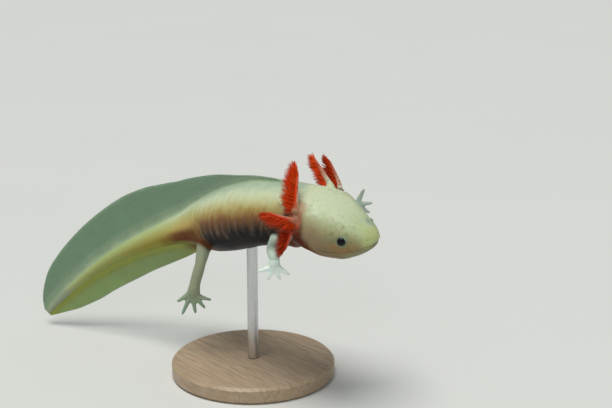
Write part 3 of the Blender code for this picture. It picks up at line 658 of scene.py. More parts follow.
def foot_shells(name):
    """The palm of a foot and its digits, each a closed form sunk into the palm."""
    hang, spread, length, half, digits = FEET[name]
    leg = name.replace("foot", "leg")
    path = leg_path(leg, LEG_STEPS)
    wrist = LEGS[leg][2][2]
    hang = unit(hang)
    fan, flat = across_pair(hang, spread)
    into = unit(path[-1] - path[-2])
    start = path[-1] + into * WRIST_GAP
    knuckle = start + hang * (length + PALM_START)
    bends = [start - into * WRIST_SINK, start, (start + knuckle) / 2, knuckle, knuckle + hang * PALM_END]
    line = curve_points(bends, PALM_STEPS)
    t = np.linspace(0, 1, PALM_STEPS)
    wide = profile([(0, wrist * 0.9), (0.3, wrist), (0.75, half), (0.92, half * 0.86), (1, half * 0.4)])(t)
    thick = profile([(0, wrist * 0.85), (0.35, wrist * 0.82), (0.75, 1.1), (1, 0.45)])(t)
    shells = [tube(sweep(line, wide, thick, fan, PALM_SIDES))]
    for k, (angle, reach) in enumerate(digits):
        turn = math.radians(angle)
        place = (k / (len(digits) - 1) - 0.5) * 2
        sink = KNUCKLE_SINK[0] + KNUCKLE_SINK[1] * abs(place)
        root = knuckle + fan * place * (half - DIGIT_ROOT_HALF) - hang * sink
        aim = hang * math.cos(turn) + fan * math.sin(turn)
        tip = root + aim * (reach + DIGIT_OVERRUN)
        line = curve_points([root, (root + tip) / 2 + flat * DIGIT_BOW, tip], DIGIT_STEPS)
        t = np.linspace(0, 1, DIGIT_STEPS)
        size = profile([(0, 1.0), (0.3, 0.92), (0.55, 0.78), (0.8, 0.66), (0.94, 0.5), (1, 0.22)])(t)
        rings = sweep(line, size, DIGIT_FLATNESS * size, fan, DIGIT_SIDES)
        shells.append(tube(rings, last=tip + aim * DIGIT_POINT))
    return shells


def fuse(name, shells, grain, rounds):
    """One even skin round overlapping closed forms, softened where they meet."""
    verts, faces = [], []
    for points, polygons in shells:
        start = len(verts)
        verts += list(points)
        faces += [tuple(start + k for k in polygon) for polygon in polygons]
    obj = new_object(name, verts, faces)
    remesh = obj.modifiers.new("fuse", "REMESH")
    remesh.mode = "VOXEL"
    remesh.voxel_size = grain
    remesh.use_smooth_shade = True
    soften = obj.modifiers.new("soften", "SMOOTH")
    soften.factor = 0.5
    soften.iterations = rounds
    return freeze(obj)


def eye_centres():
    return [SPINE.point(EYE_AT, side * EYE_ACROSS, EYE_ABOVE) for side in (-1, 1)]


def nearest_distance(points, centres):
    return np.min([np.linalg.norm(points - c, axis=1) for c in centres], axis=0)


def sculpt_and_mark(obj, mouth_depth):
    """Adds lips, eye rims and nostrils to the skin, and writes the numbers that its material reads."""
    mesh = obj.data
    points = coordinates(mesh)
    normals = np.empty(len(points) * 3, np.float32)
    mesh.vertex_normals.foreach_get("vector", normals)
    normals = normals.reshape(-1, 3)
    s, across, above = SPINE.locate(points)
    width = np.maximum(half_width(s), 0.5)
    reach = np.maximum(np.where(above > 0, reach_above(s), reach_below(s)), 0.5)
    power = roundness(s)
    spread = ((np.abs(across) / width) ** power + (np.abs(above) / reach) ** power) ** (1 / power)
    on_body = 1 - smooth_step(spread, 1.06, 1.3)
    mouth = above - mouth_height(s)
    front = (1 - smooth_step(s, MOUTH_CORNER_AT - 2.0, MOUTH_CORNER_AT + 0.3)) * on_body
    eye_near = nearest_distance(points, eye_centres())
    nostrils = [SPINE.point(NOSTRIL_AT[0], side * NOSTRIL_AT[1], NOSTRIL_AT[2]) for side in (-1, 1)]
    nostril_near = nearest_distance(points, nostrils)
    shift = -mouth_depth * bell(mouth, LIP_GROOVE_WIDTH) * front
    upper_lip = UPPER_LIP_HEIGHT * bell(mouth - UPPER_LIP_ABOVE, UPPER_LIP_WIDTH)
    shift += front * (upper_lip - CHIN_DEPTH * bell(mouth + CHIN_BELOW, CHIN_WIDTH))
    shift += EYE_RIM_HEIGHT * bell(eye_near - EYE_RADIUS - EYE_RIM_OFFSET, EYE_RIM_WIDTH) * on_body
    shift -= NOSTRIL_DEPTH * bell(nostril_near, NOSTRIL_WIDTH) * on_body
    fold_at = s - NECK_FOLD_AT - NECK_FOLD_SLANT * above.clip(-9, 9)
    fold = bell(fold_at, NECK_FOLD_WIDTH) * smooth_step(-above, -3.0, 3.0)
    shift -= NECK_FOLD_DEPTH * fold * on_body
    points = points + normals * shift[:, None]
    mesh.vertices.foreach_set("co", (points * METRES).astype(np.float32).ravel())
    mesh.update()
    roots = [gill_path(*gill, 2)[0] for gill in GILLS]
    marks = {
        "station": s, "height": above / reach, "limb": smooth_step(spread, 1.05, 1.22), "mouth": mouth,
        "lips": front, "eye_near": eye_near, "nostril_near": nostril_near,
        "gill_near": nearest_distance(points, roots), "gill_back": gill_back_share(points),
        "groove": costal_share(s, above / reach) * on_body,
        "digit": foot_share(points), "painted_sheen_near": nearest_distance(points, [SPINE.point(*PAINTED_SHEEN_AT)]),
        "hind": smooth_step(s, 60.0, 66.0), "left": smooth_step(across, -2.0, 2.0),
    }
    for name, values in marks.items():
        set_values(mesh, name, values)


def gill_back_share(points):
    """0 on the pale front of the gills' roots and 1 on their red back."""
    share = np.zeros(len(points))
    for gill in GILLS:
        path = gill_path(*gill, PATH_STEPS)[:PATH_STEPS // 2]
        away = np.linalg.norm(points[:, None, :] - path[None], axis=2)
        nearest = path[away.argmin(1)]
        turned = ((points - nearest) @ gill_back(*gill)) / np.maximum(away.min(1), 0.3)
        share = np.where(away.min(1) < 4.0, smooth_step(turned, *GILL_BACK_TURN), share)
    return share


def foot_share(points):
    """0 on the body and legs, rising to 1 at the tips of the digits."""
    share = np.zeros(len(points))
    for name, (hang, _, length, _, digits) in FEET.items():
        wrist = leg_path(name.replace("foot", "leg"), 12)[-1]
        reach = length + max(d[1] for d in digits) + 1.0
        away = np.linalg.norm(points - wrist, axis=1)
        ahead = (points - wrist) @ unit(hang)
        near = (away < reach * 1.15) & (ahead > -1.5)
        share = np.where(near, np.maximum(share, np.clip(away / reach, 0, 1)), share)
    return share


# Skin colours from the belly (0) to the ridge (1), in linear light. CREAM and BELLY are set in the panel
CREAM, BELLY = "cream", "belly"
TRUNK_SHADES = [(0.0, BELLY), (0.33, BELLY), (0.40, (0.06, 0.035, 0.02)), (0.48, (0.14, 0.062, 0.02)),
                (0.575, (0.26, 0.115, 0.033)), (0.675, (0.43, 0.31, 0.095)), (0.76, (0.55, 0.51, 0.23)),
                (0.84, (0.60, 0.64, 0.38)), (0.90, CREAM), (1.0, (0.38, 0.49, 0.36))]
# On the head, the darkening toward the jaw is partly painted shade
HEAD_SHADES = [(0.0, (0.08, 0.072, 0.045)), (0.26, (0.155, 0.135, 0.08)), (0.42, (0.27, 0.23, 0.12)),
               (0.62, (0.33, 0.31, 0.155)), (0.78, (0.40, 0.41, 0.215)), (0.88, (0.48, 0.53, 0.32)),
               (0.95, CREAM), (1.0, CREAM)]
RUMP_SHADES = [(0.0, (0.17, 0.14, 0.04)), (0.25, (0.22, 0.09, 0.025)), (0.45, (0.52, 0.30, 0.065)),
               (0.62, (0.60, 0.44, 0.12)), (0.8, (0.56, 0.55, 0.23)), (0.92, CREAM),
               (1.0, (0.42, 0.53, 0.33))]
TAIL_SHADES = [(0.0, (0.30, 0.32, 0.07)), (0.35, (0.34, 0.28, 0.05)), (0.62, (0.44, 0.41, 0.11)),
               (0.85, (0.46, 0.53, 0.23)), (1.0, (0.42, 0.53, 0.29))]

# Colours of the skin's markings and of its painted light and shade, in linear light
COSTAL_PINK = (0.25, 0.155, 0.11)
# The jaw's grey is painted light: it lightens the front of the lower jaw, which lies in shade
BROW_GREEN, SNOUT_YELLOW, JAW_PAINTED_LIGHT = (0.43, 0.51, 0.28), (0.50, 0.56, 0.24), (0.28, 0.27, 0.145)
TAIL_OLIVE, TAIL_END_GREY = (0.33, 0.42, 0.16), (0.40, 0.46, 0.28)
GROIN_RED, VENT_OLIVE = (0.125, 0.022, 0.004), (0.2, 0.2, 0.05)
# The neck's deep red is partly its own colour and partly painted shade under the gills
TEMPLE_BROWN, NECK_RED_AND_SHADE, CHEEK_ORANGE = (0.31, 0.20, 0.12), (0.10, 0.02, 0.008), (0.38, 0.19, 0.06)
FRECKLE_SHADE, FRECKLE, DUST = (0.20, 0.19, 0.09), (0.10, 0.09, 0.05), (0.30, 0.28, 0.15)
BEHIND_GILLS_RED, GILL_FLUSH = (0.56, 0.09, 0.03), (0.37, 0.16, 0.09)
# The snout's sheen is painted: a bluish painted sheen between the snout's middle and the left eye
EYE_RIM, PAINTED_SNOUT_SHEEN = (0.22, 0.30, 0.19), (0.17, 0.27, 0.29)
LIP_SHADOW, NOSTRIL_SHADOW = (0.16, 0.10, 0.06), (0.14, 0.1, 0.06)
ARM, HAND = (0.53, 0.67, 0.57), (0.86, 1.0, 0.92)
HIND_LEG, HIND_FOOT = (0.30, 0.35, 0.23), (0.26, 0.43, 0.29)
# The left limbs' colour is painted shade: darker and greener than the right ones
LEFT_LIMBS_PAINTED_SHADE, LEG_MOTTLE = (0.16, 0.29, 0.21), (0.42, 0.36, 0.28)
GILL_PALE, GILL_PINK, GILL_ROOT_RED = (0.56, 0.58, 0.42), (0.62, 0.15, 0.05), (0.50, 0.07, 0.02)


class SkinNodes(Nodes):
    """The skin's nodes, with the numbers and patterns that its markings share."""

    def __init__(self, settings):
        super().__init__("axolotl_skin")
        self.chosen = {CREAM: tuple(settings.cream), BELLY: tuple(settings.belly)}
        self.where = self.place()
        self.station, self.height = self.number("station"), self.number("height")
        self.eye_near, self.gill_near = self.number("eye_near"), self.number("gill_near")
        self.near_side = self.math("SUBTRACT", 1.0, self.number("left"))
        self.blotch = self.noise(self.where, 260.0, 4.0)
        self.mottle = self.noise(self.where, 620.0, 4.0, 0.62)
        self.edge = self.math("ADD", self.station, self.scaled(self.blotch, 9.0, -4.5))
        slanted = self.scaled(self.height, -4.6, self.scaled(self.blotch, 3.0, -1.5))
        self.border = self.math("ADD", self.station, slanted)
        along_ribs = self.scaled(self.height, COSTAL_SLANT, self.station)
        self.streaks = self.noise(self.pair(along_ribs, self.height, (0.36, 0.7)), 1.0, 3.0)
        level = self.scaled(self.math("ADD", self.height, self.scaled(self.blotch, 0.3, -0.15)), 0.5, 0.5)
        streaked = self.times(self.span(self.streaks, 0.3, 0.7, -0.028, 0.028), self.span(level, 0.85, 0.6))
        self.level = self.math("ADD", level, streaked)

    def shades(self, stops):
        """The colours between the belly and the back's ridge."""
        return self.ramp(self.level, [(place, self.chosen.get(colour, colour)) for place, colour in stops])

    def trunk(self):
        """A dark belly, a warm flank with pinkish costal folds and a cream back."""
        folds = self.times(self.span(self.level, 0.24, 0.4), self.span(self.level, 0.62, 0.48))
        ribs = self.times(self.number("groove"), self.span(self.streaks, 0.3, 0.65, 0.12, 0.6))
        ribs = self.math("MAXIMUM", ribs, self.span(self.streaks, 0.52, 0.72, 0.0, 0.5))
        return self.mix(self.times(ribs, folds), self.shades(TRUNK_SHADES), COSTAL_PINK)

    def head(self):
        """Greenish brow, yellower snout, darker to the jaw partly as painted shade, painted light at its
        front.
        """
        colour = self.shades(HEAD_SHADES)
        brow = self.times(self.span(self.station, 16.0, 3.0, 0.0, 0.75), self.span(self.level, 0.7, 0.95))
        colour = self.mix(brow, colour, BROW_GREEN)
        snout = self.times(self.span(self.edge, 6.5, 0.5), self.span(self.level, 0.1, 0.35), 0.9)
        colour = self.mix(snout, colour, SNOUT_YELLOW)
        # Painted light: the front of the lower jaw lighter, where it lies in shade
        jaw = self.times(self.span(self.station, 14.0, 6.0), self.span(self.level, 0.42, 0.25), 0.8)
        return self.mix(jaw, colour, JAW_PAINTED_LIGHT)

    def body(self):
        """Head, trunk, rump and tail, each running into the next, with the dark red of the groin."""
        colour = self.mix(self.span(self.edge, 25.0, 32.0), self.head(), self.trunk())
        colour = self.mix(self.span(self.edge, 72.0, 83.0), colour, self.shades(RUMP_SHADES))
        colour = self.mix(self.span(self.edge, 92.0, 112.0), colour, self.shades(TAIL_SHADES))
        colour = self.mix(self.span(self.edge, 112.0, 140.0, 0.0, 0.55), colour, TAIL_OLIVE)
        colour = self.mix(self.span(self.station, 140.0, 172.0, 0.0, 0.5), colour, TAIL_END_GREY)
        groin = self.times(self.span(self.edge, 72.0, 84.0), self.span(self.edge, 112.0, 94.0),
                           self.span(self.height, 0.26, -0.12), 0.9)
        colour = self.mix(groin, colour, GROIN_RED)
        vent = self.times(self.span(self.edge, 80.0, 87.0), self.span(self.height, -0.45, -0.8),
                          self.span(self.edge, 110.0, 98.0))
        return self.mix(vent, colour, VENT_OLIVE)

    def neck_and_cheek(self, colour):
        """Brown at the back of the head, deep red under the neck partly as painted shade, and orange under
        the eyes.
        """
        temple = self.times(self.span(self.border, 9.5, 16.5), self.span(self.edge, 34.0, 28.5),
                            self.span(self.height, 0.85, 0.35, 0.0, 0.62))
        colour = self.mix(temple, colour, TEMPLE_BROWN)
        # Deep red behind the head: partly its own colour, partly painted shade under the gills
        neck = self.times(self.span(self.border, 17.4, 20.4), self.span(self.edge, 32.5, 28.0),
                          self.span(self.height, 0.8, 0.6))
        colour = self.mix(neck, colour, NECK_RED_AND_SHADE)
        cheek = self.times(self.span(self.eye_near, 8.0, 2.2), self.span(self.height, 0.2, -0.2),
                           self.span(self.blotch, 0.35, 0.6, 0.25, 0.8))
        return self.mix(cheek, colour, CHEEK_ORANGE)

    def freckles(self, colour):
        """Shaded patches and dark specks round the eyes and gills, and fine dust from head to flank."""
        round_eyes = self.span(self.eye_near, 10.0, 3.0, 0.12, 1.0)
        face = self.math("MAXIMUM", round_eyes, self.span(self.gill_near, 11.0, 4.0))
        near = self.times(face, self.span(self.edge, 30.0, 25.0), self.span(self.border, 20.0, 17.0))
        colour = self.mix(self.times(self.span(self.mottle, 0.5, 0.66), near, 0.5), colour, FRECKLE_SHADE)
        specks = self.span(self.cells(self.where, 900.0), 0.26, 0.1)
        patches = self.span(self.noise(self.where, 330.0, 2.0), 0.46, 0.6)
        colour = self.mix(self.times(specks, self.times(patches, near), 0.75), colour, FRECKLE)
        dust = self.times(self.span(self.noise(self.where, 1500.0, 3.0), 0.54, 0.72),
                          self.span(self.station, 60.0, 20.0, 0.05, 0.3))
        return self.mix(dust, colour, DUST)

    def round_gills(self, colour):
        """Red behind the gills' roots, and a brownish flush round the upper ones of the right side."""
        behind = self.times(self.number("gill_back"), self.span(self.gill_near, 4.4, 3.3))
        colour = self.mix(behind, colour, BEHIND_GILLS_RED)
        flush = self.times(self.span(self.gill_near, 5.2, 2.6, 0.0, 0.75), self.span(self.height, 0.05, 0.4),
                           self.near_side)
        return self.mix(flush, colour, GILL_FLUSH)

    def face(self, colour, mouth_line):
        """The eyes' rims, a painted bluish sheen on the snout's left, the shadow between the lips and the
        nostrils.
        """
        rim = self.times(self.span(self.eye_near, EYE_RADIUS + 1.0, EYE_RADIUS + 0.2), 0.5)
        colour = self.mix(rim, colour, EYE_RIM)
        # Painted sheen: a bluish patch on the left of the snout, toward the left eye
        sheen = self.times(self.span(self.number("painted_sheen_near"), 2.9, 0.4),
                           self.span(self.mottle, 0.35, 0.65, 0.35, 0.7))
        colour = self.mix(sheen, colour, PAINTED_SNOUT_SHEEN)
        colour = self.mix(self.times(mouth_line, 0.35), colour, LIP_SHADOW)
        return self.mix(self.span(self.number("nostril_near"), 0.5, 0.2, 0.0, 0.7), colour, NOSTRIL_SHADOW)

    def limbs(self):
        """The legs and feet, the left ones in painted shade, and the pale front and red back of the gills'
        roots.
        """
        digit = self.number("digit")
        fore = self.mix(self.span(digit, 0.02, 0.4), ARM, HAND)
        hind = self.mix(self.span(digit, 0.1, 0.8), HIND_LEG, HIND_FOOT)
        leg = self.mix(self.number("hind"), fore, hind)
        # Painted shade: the left legs and feet darker and greener
        leg = self.mix(self.times(self.number("left"), 0.6), leg, LEFT_LIMBS_PAINTED_SHADE)
        leg = self.mix(self.span(self.mottle, 0.4, 0.7, 0.0, 0.25), leg, LEG_MOTTLE)
        pink = self.times(self.span(self.gill_near, 0.8, 2.6, 0.7, 0.88), self.near_side)
        root = self.mix(pink, GILL_PALE, GILL_PINK)
        root = self.mix(self.number("gill_back"), root, GILL_ROOT_RED)
        return self.mix(self.span(self.gill_near, 8.0, 6.5), leg, root)


def skin_material(settings):
    n = SkinNodes(settings)
    limb = n.number("limb")
    mouth_line = n.times(n.span(n.math("ABSOLUTE", n.number("mouth")), 0.4, 0.06), n.number("lips"))
    colour = n.freckles(n.neck_and_cheek(n.body()))
    colour = n.face(n.round_gills(colour), mouth_line)
    colour = n.mix(limb, colour, n.limbs())
    shine = n.math("MAXIMUM", n.span(n.level, 0.3, 0.6, 0.25, 1.0), limb)
    surface = n.group(moist_surface_group())
    crease = n.bump(n.times(mouth_line, -1.0), 0.0002, 0.7, surface.outputs["Normal"])
    n.set(Base_Color=colour, Roughness=surface.outputs["Roughness"], Normal=crease, IOR=1.38,
          Subsurface_Weight=0.2, Subsurface_Radius=(1.0, 0.5, 0.25), Subsurface_Scale=0.001,
          Coat_Weight=n.times(shine, settings.moisture), Coat_Roughness=0.2,
          Specular_IOR_Level=n.times(shine, 0.28))
    return n.material


class AXOLOTL_OT_skin(bpy.types.Operator):
    """Builds one skin over the head, neck, trunk, tail, legs and feet"""

    bl_idname = "axolotl.skin"
    bl_label = "Build the skin"

    def execute(self, context):
        settings = context.scene.axolotl_skin
        shells = [body_shell(settings.groove / METRES)]
        shells += [leg_shell(name) for name in LEGS]
        shells += [gill_foot_shell(side, place) for side, place in GILLS]
        for name in FEET:
            shells += foot_shells(name)
        obj = fuse("skin", shells, settings.grain, SOFTENING_ROUNDS)
        sculpt_and_mark(obj, settings.mouth / METRES)
        finish_piece(obj, FLESH_NODES, skin_material(settings))
        return {"FINISHED"}


def two_sided_faces(rows, columns):
    """Faces of a thin closed sheet: two grids of points, one for each side, and the rim that joins them."""
    count = rows * columns
    faces = []
    for i in range(columns - 1):
        for k in range(rows - 1):
            a = i * rows + k
            faces.append((a, a + 1, a + rows + 1, a + rows))
            faces.append((count + a, count + a + rows, count + a + rows + 1, count + a + 1))
        for k in (0, rows - 1):
            a = i * rows + k
            faces.append((a, a + rows, count + a + rows, count + a))
    for i in (0, columns - 1):
        for k in range(rows - 1):
            a = i * rows + k
            faces.append((a, a + 1, count + a + 1, count + a))
    return faces


def on_both_sides(values):
    """A sheet's values, once for each of its two sides."""
    return np.concatenate([values.ravel(), values.ravel()])


def fin_sheet(name, start, height, side, settings):
    """A thin fin that stands on the ridge (side 1) or hangs from the keel (side -1)."""
    start -= FIN_LEAD
    stations = np.linspace(start, TAIL_TIP - FIN_END_INSET, FIN_STATIONS)
    rise = np.linspace(0.0, 1.0, FIN_ROWS) ** FIN_ROW_CROWDING
    reach = reach_above(stations) if side > 0 else reach_below(stations)
    sink = np.minimum(FIN_SINK, FIN_SINK_SHARE * reach)
    s, t = np.meshgrid(stations, rise, indexing="ij")
    rooted, flared = (smooth_step(stations, start, start + run) for run in (FIN_RISE_RUN, FIN_FLARE_RUN))
    low = (reach - sink)[:, None]
    top = reach - FIN_START_DEPTH + (FIN_START_DEPTH + FIN_GAP + height(stations)) * rooted
    high = top[:, None]
    above = side * (low + (high - low) * t)
    thin = settings.edge / METRES / 2
    flare = np.minimum(FIN_FLARE_SHARE * half_width(stations), FIN_FLARE_LIMIT) * (0.15 + 0.85 * flared)
    half = thin + (flare[:, None] - thin) * np.exp(-(high - low) * t / FIN_FLARE_FADE)
    tall = height(stations)[:, None] / FIN_RIPPLE_HEIGHT
    sway = settings.ripple / METRES * tall * t ** 2 * (np.sin(s * 0.21 + 0.6) + 0.5 * np.sin(s * 0.53))
    verts = np.concatenate([SPINE.point(s, sway + way * half, above).reshape(-1, 3) for way in (1, -1)])
    obj = new_object(name, verts, two_sided_faces(FIN_ROWS, FIN_STATIONS))
    set_values(obj.data, "station", on_both_sides(s))
    set_values(obj.data, "rise", on_both_sides(t))
    set_values(obj.data, "off_skin", on_both_sides((high - low) * t - sink[:, None]))
    layer = obj.data.uv_layers.new(name="FinMap")
    corners = np.empty(len(obj.data.loops), np.int32)
    obj.data.loops.foreach_get("vertex_index", corners)
    uv = np.stack([on_both_sides(s / FIN_UV_SPAN), on_both_sides(above * side / FIN_UV_SPAN)], 1)[corners]
    layer.data.foreach_set("uv", uv.astype(np.float32).ravel())
    return obj


# Colours of the fins, in linear light, and the stations over which each one's flesh and stain run out
FIN_FIBRE, FIN_EDGE, FIN_STAIN = (0.26, 0.34, 0.2), (0.30, 0.42, 0.30), (0.14, 0.06, 0.012)
UPPER_FIN_ROOT, LOWER_FIN_ROOT = (0.40, 0.50, 0.33), (0.33, 0.35, 0.065)
UPPER_FIN_FLESHY, LOWER_FIN_FLESHY = (60.0, 36.0, 0.0, 0.15), (118.0, 88.0, 0.0, 0.8)
LOWER_FIN_STAINED = (104.0, 94.0)


def fin_material(name, clear, cover, root_colour, fleshy, stain=None):
    """A clear fin over flesh of the root's colour. It hides most near the body and at the fleshy stations.

    A stain is the stations over which the dark red of the vent runs out.
    """
    n = Nodes(name)
    rise, station, off_skin = n.number("rise"), n.number("station"), n.number("off_skin")
    fibres = n.noise(n.place((26.0, 1.6, 1.0), uv="FinMap"), 5.0, 4.0)
    cloud = n.noise(n.place((1.0, 1.0, 1.0), uv="FinMap"), 3.0, 4.0)
    blend = n.math("ADD", off_skin, n.scaled(cloud, 2.4, -1.2))
    clearer = n.times(n.span(station, 105.0, 75.0, 0.0, 1.4), n.span(off_skin, 0.0, 1.0))
    blend = n.math("ADD", blend, clearer)
    thick = n.math("MAXIMUM", n.span(blend, 5.0, -0.6), n.span(station, *fleshy))
    colour = n.mix(n.span(cloud, 0.35, 0.7, 0.0, 0.4), clear, tuple(0.68 * c for c in clear))
    colour = n.mix(n.span(fibres, 0.45, 0.75, 0.0, 0.25), colour, FIN_FIBRE)
    colour = n.mix(n.span(rise, 0.9, 1.0, 0.0, 0.4), colour, FIN_EDGE)
    colour = n.mix(thick, colour, root_colour)
    if stain:
        near = n.times(n.span(station, *stain), n.span(off_skin, 4.5, 1.0))
        colour = n.mix(near, colour, FIN_STAIN)
    hide = n.math("ADD", n.span(fibres, 0.4, 0.75, -0.05, 0.08), cover)
    hide = n.math("MULTIPLY_ADD", n.math("POWER", thick, 2.5), 0.5, hide, clamp=True)
    surface = n.group(moist_surface_group(), Depth=0.000008, Roughness=0.3)
    relief = n.bump(fibres, 0.00008, 0.4, surface.outputs["Normal"])
    n.set(Base_Color=colour, Alpha=hide, Roughness=surface.outputs["Roughness"], Normal=relief, IOR=1.36,
          Coat_Weight=0.1, Coat_Roughness=0.2, Specular_IOR_Level=0.3)
    return n.material


class AXOLOTL_OT_fins(bpy.types.Operator):
    """Builds the clear fin over the back and tail and the one under the tail"""

    bl_idname = "axolotl.fins"
    bl_label = "Build the fins"

    def execute(self, context):
        settings = context.scene.axolotl_fins
        upper = fin_sheet("fin_over", UPPER_FIN[0][0], upper_fin, 1, settings)
        finish_piece(upper, ["back_fin", "tail_fin_upper"],
                     fin_material("fin_over", tuple(settings.colour), settings.cover, UPPER_FIN_ROOT,
                                  UPPER_FIN_FLESHY))
        lower = fin_sheet("fin_under", LOWER_FIN[0][0], lower_fin, -1, settings)
        finish_piece(lower, ["tail_fin_lower"],
                     fin_material("fin_under", tuple(settings.under_colour), min(1.0, 1.2 * settings.cover),
                                  LOWER_FIN_ROOT, LOWER_FIN_FLESHY, stain=LOWER_FIN_STAINED))
        return {"FINISHED"}


def scribed(start, out):
    """Where a line from inside the body leaves it."""
    line = start + np.linspace(-4.0, 6.0, 401)[:, None] * out
    s, across, above = SPINE.locate(line)
    reach = np.where(above > 0, reach_above(s), reach_below(s))
    power = roundness(s)
    inside = (np.abs(across) / half_width(s)) ** power + (np.abs(above) / reach) ** power < 1
    return line[np.flatnonzero(inside)[-1]]


def gill_path(side, place, count):
    """The middle of a gill's stalk, from just inside the head to its tip."""
    (at, across, above), reach, bow, _, _ = GILLS[side, place]
    way = -1 if side == "right" else 1
    inner = SPINE.point(at, GILL_ROOT_WAY[0] * way * across, GILL_ROOT_WAY[1] * above)
    out = unit(inner - SPINE.point(at))
    root = scribed(SPINE.point(at, way * across, above), out)
    reach = np.array(reach)
    middle = root + 0.5 * (reach + bow * way * SPINE.axes(at)[2])
    return curve_points([root - GILL_SINK * out, root, middle, root + reach], count)


def gill_lean(side, place):
    """The way the filaments of a gill lean."""
    (at, _, _), _, _, lean, _ = GILLS[side, place]
    _, forward, left, up = SPINE.axes(at)
    way = -1 if side == "right" else 1
    return unit(lean[0] * forward + lean[1] * way * left + lean[2] * up)


def gill_back(side, place):
    """The way that a gill's red face looks: back and outward."""
    left = SPINE.axes(GILLS[side, place][0][0])[2]
    return unit(0.5 * gill_lean(side, place) + (left if side == "left" else -left))


def stalk_radius(t):
    return STALK_TIP_RADIUS + STALK_EXTRA_RADIUS * (1 - t) ** STALK_TAPER


def gill_foot_shell(side, place):
    """The flesh that a gill's stalk grows from, flared toward the head."""
    path = gill_path(side, place, PATH_STEPS)[:int(GILL_FOOT_SHARE * PATH_STEPS)]
    t = np.linspace(0, GILL_FOOT_SHARE, len(path))
    size = stalk_radius(t) * profile(GILL_FOOT_FLARE)(t)
    forward = SPINE.axes(GILLS[side, place][0][0])[1]
    return tube(sweep(path, size, STALK_FLATNESS * size, forward, STALK_SIDES))


def filament_points(side, place, settings):
    """Roots, aims, leans and lengths of a gill's filaments, in millimetres."""
    rng = np.random.default_rng(settings.seed + list(GILLS).index((side, place)))
    _, reach, _, _, longest = GILLS[side, place]
    path = gill_path(side, place, PATH_STEPS)
    last = PATH_STEPS - 2
    lean_way = gill_lean(side, place)
    count = int(settings.density * np.linalg.norm(reach))
    roots, aims, leans, reaches = [], [], [], []
    for row, swing in enumerate(np.linspace(-1.0, 1.0, settings.rows)):
        for k in range(count):
            t = FILAMENTS_START + (1 - FILAMENTS_START) * (k + row / settings.rows) / count
            i = min(int(t * last) + 1, last)
            along = unit(path[i + 1] - path[i - 1])
            lean_across, side_across = across_pair(along, lean_way)
            fan = FILAMENT_FAN * swing + rng.normal(0, FILAMENT_FAN_STRAY)
            tipward = FILAMENT_TIPWARD[0] + FILAMENT_TIPWARD[1] * t ** 3
            aim = unit(lean_across * math.cos(fan) + side_across * math.sin(fan) + along * tipward
                       + rng.normal(0, FILAMENT_AIM_STRAY, 3))
            centre = path[i] + (path[i + 1] - path[i]) * (t * last % 1)
            roots.append(centre + aim * stalk_radius(t) * FILAMENT_ROOT_DEPTH)
            aims.append(aim)
            leans.append(unit(along * FILAMENT_LEAN_ALONG + rng.normal(0, FILAMENT_LEAN_STRAY, 3)))
            length = settings.fullness * longest * filament_share(t)
            reaches.append(length * rng.uniform(*FILAMENT_LENGTH_RANGE))
    return np.array(roots), np.array(aims), np.array(leans), np.array(reaches)


def set_vectors(mesh, name, values):
    layer = mesh.attributes.new(name, "FLOAT_VECTOR", "POINT")
    layer.data.foreach_set("vector", np.asarray(values, np.float32).ravel())


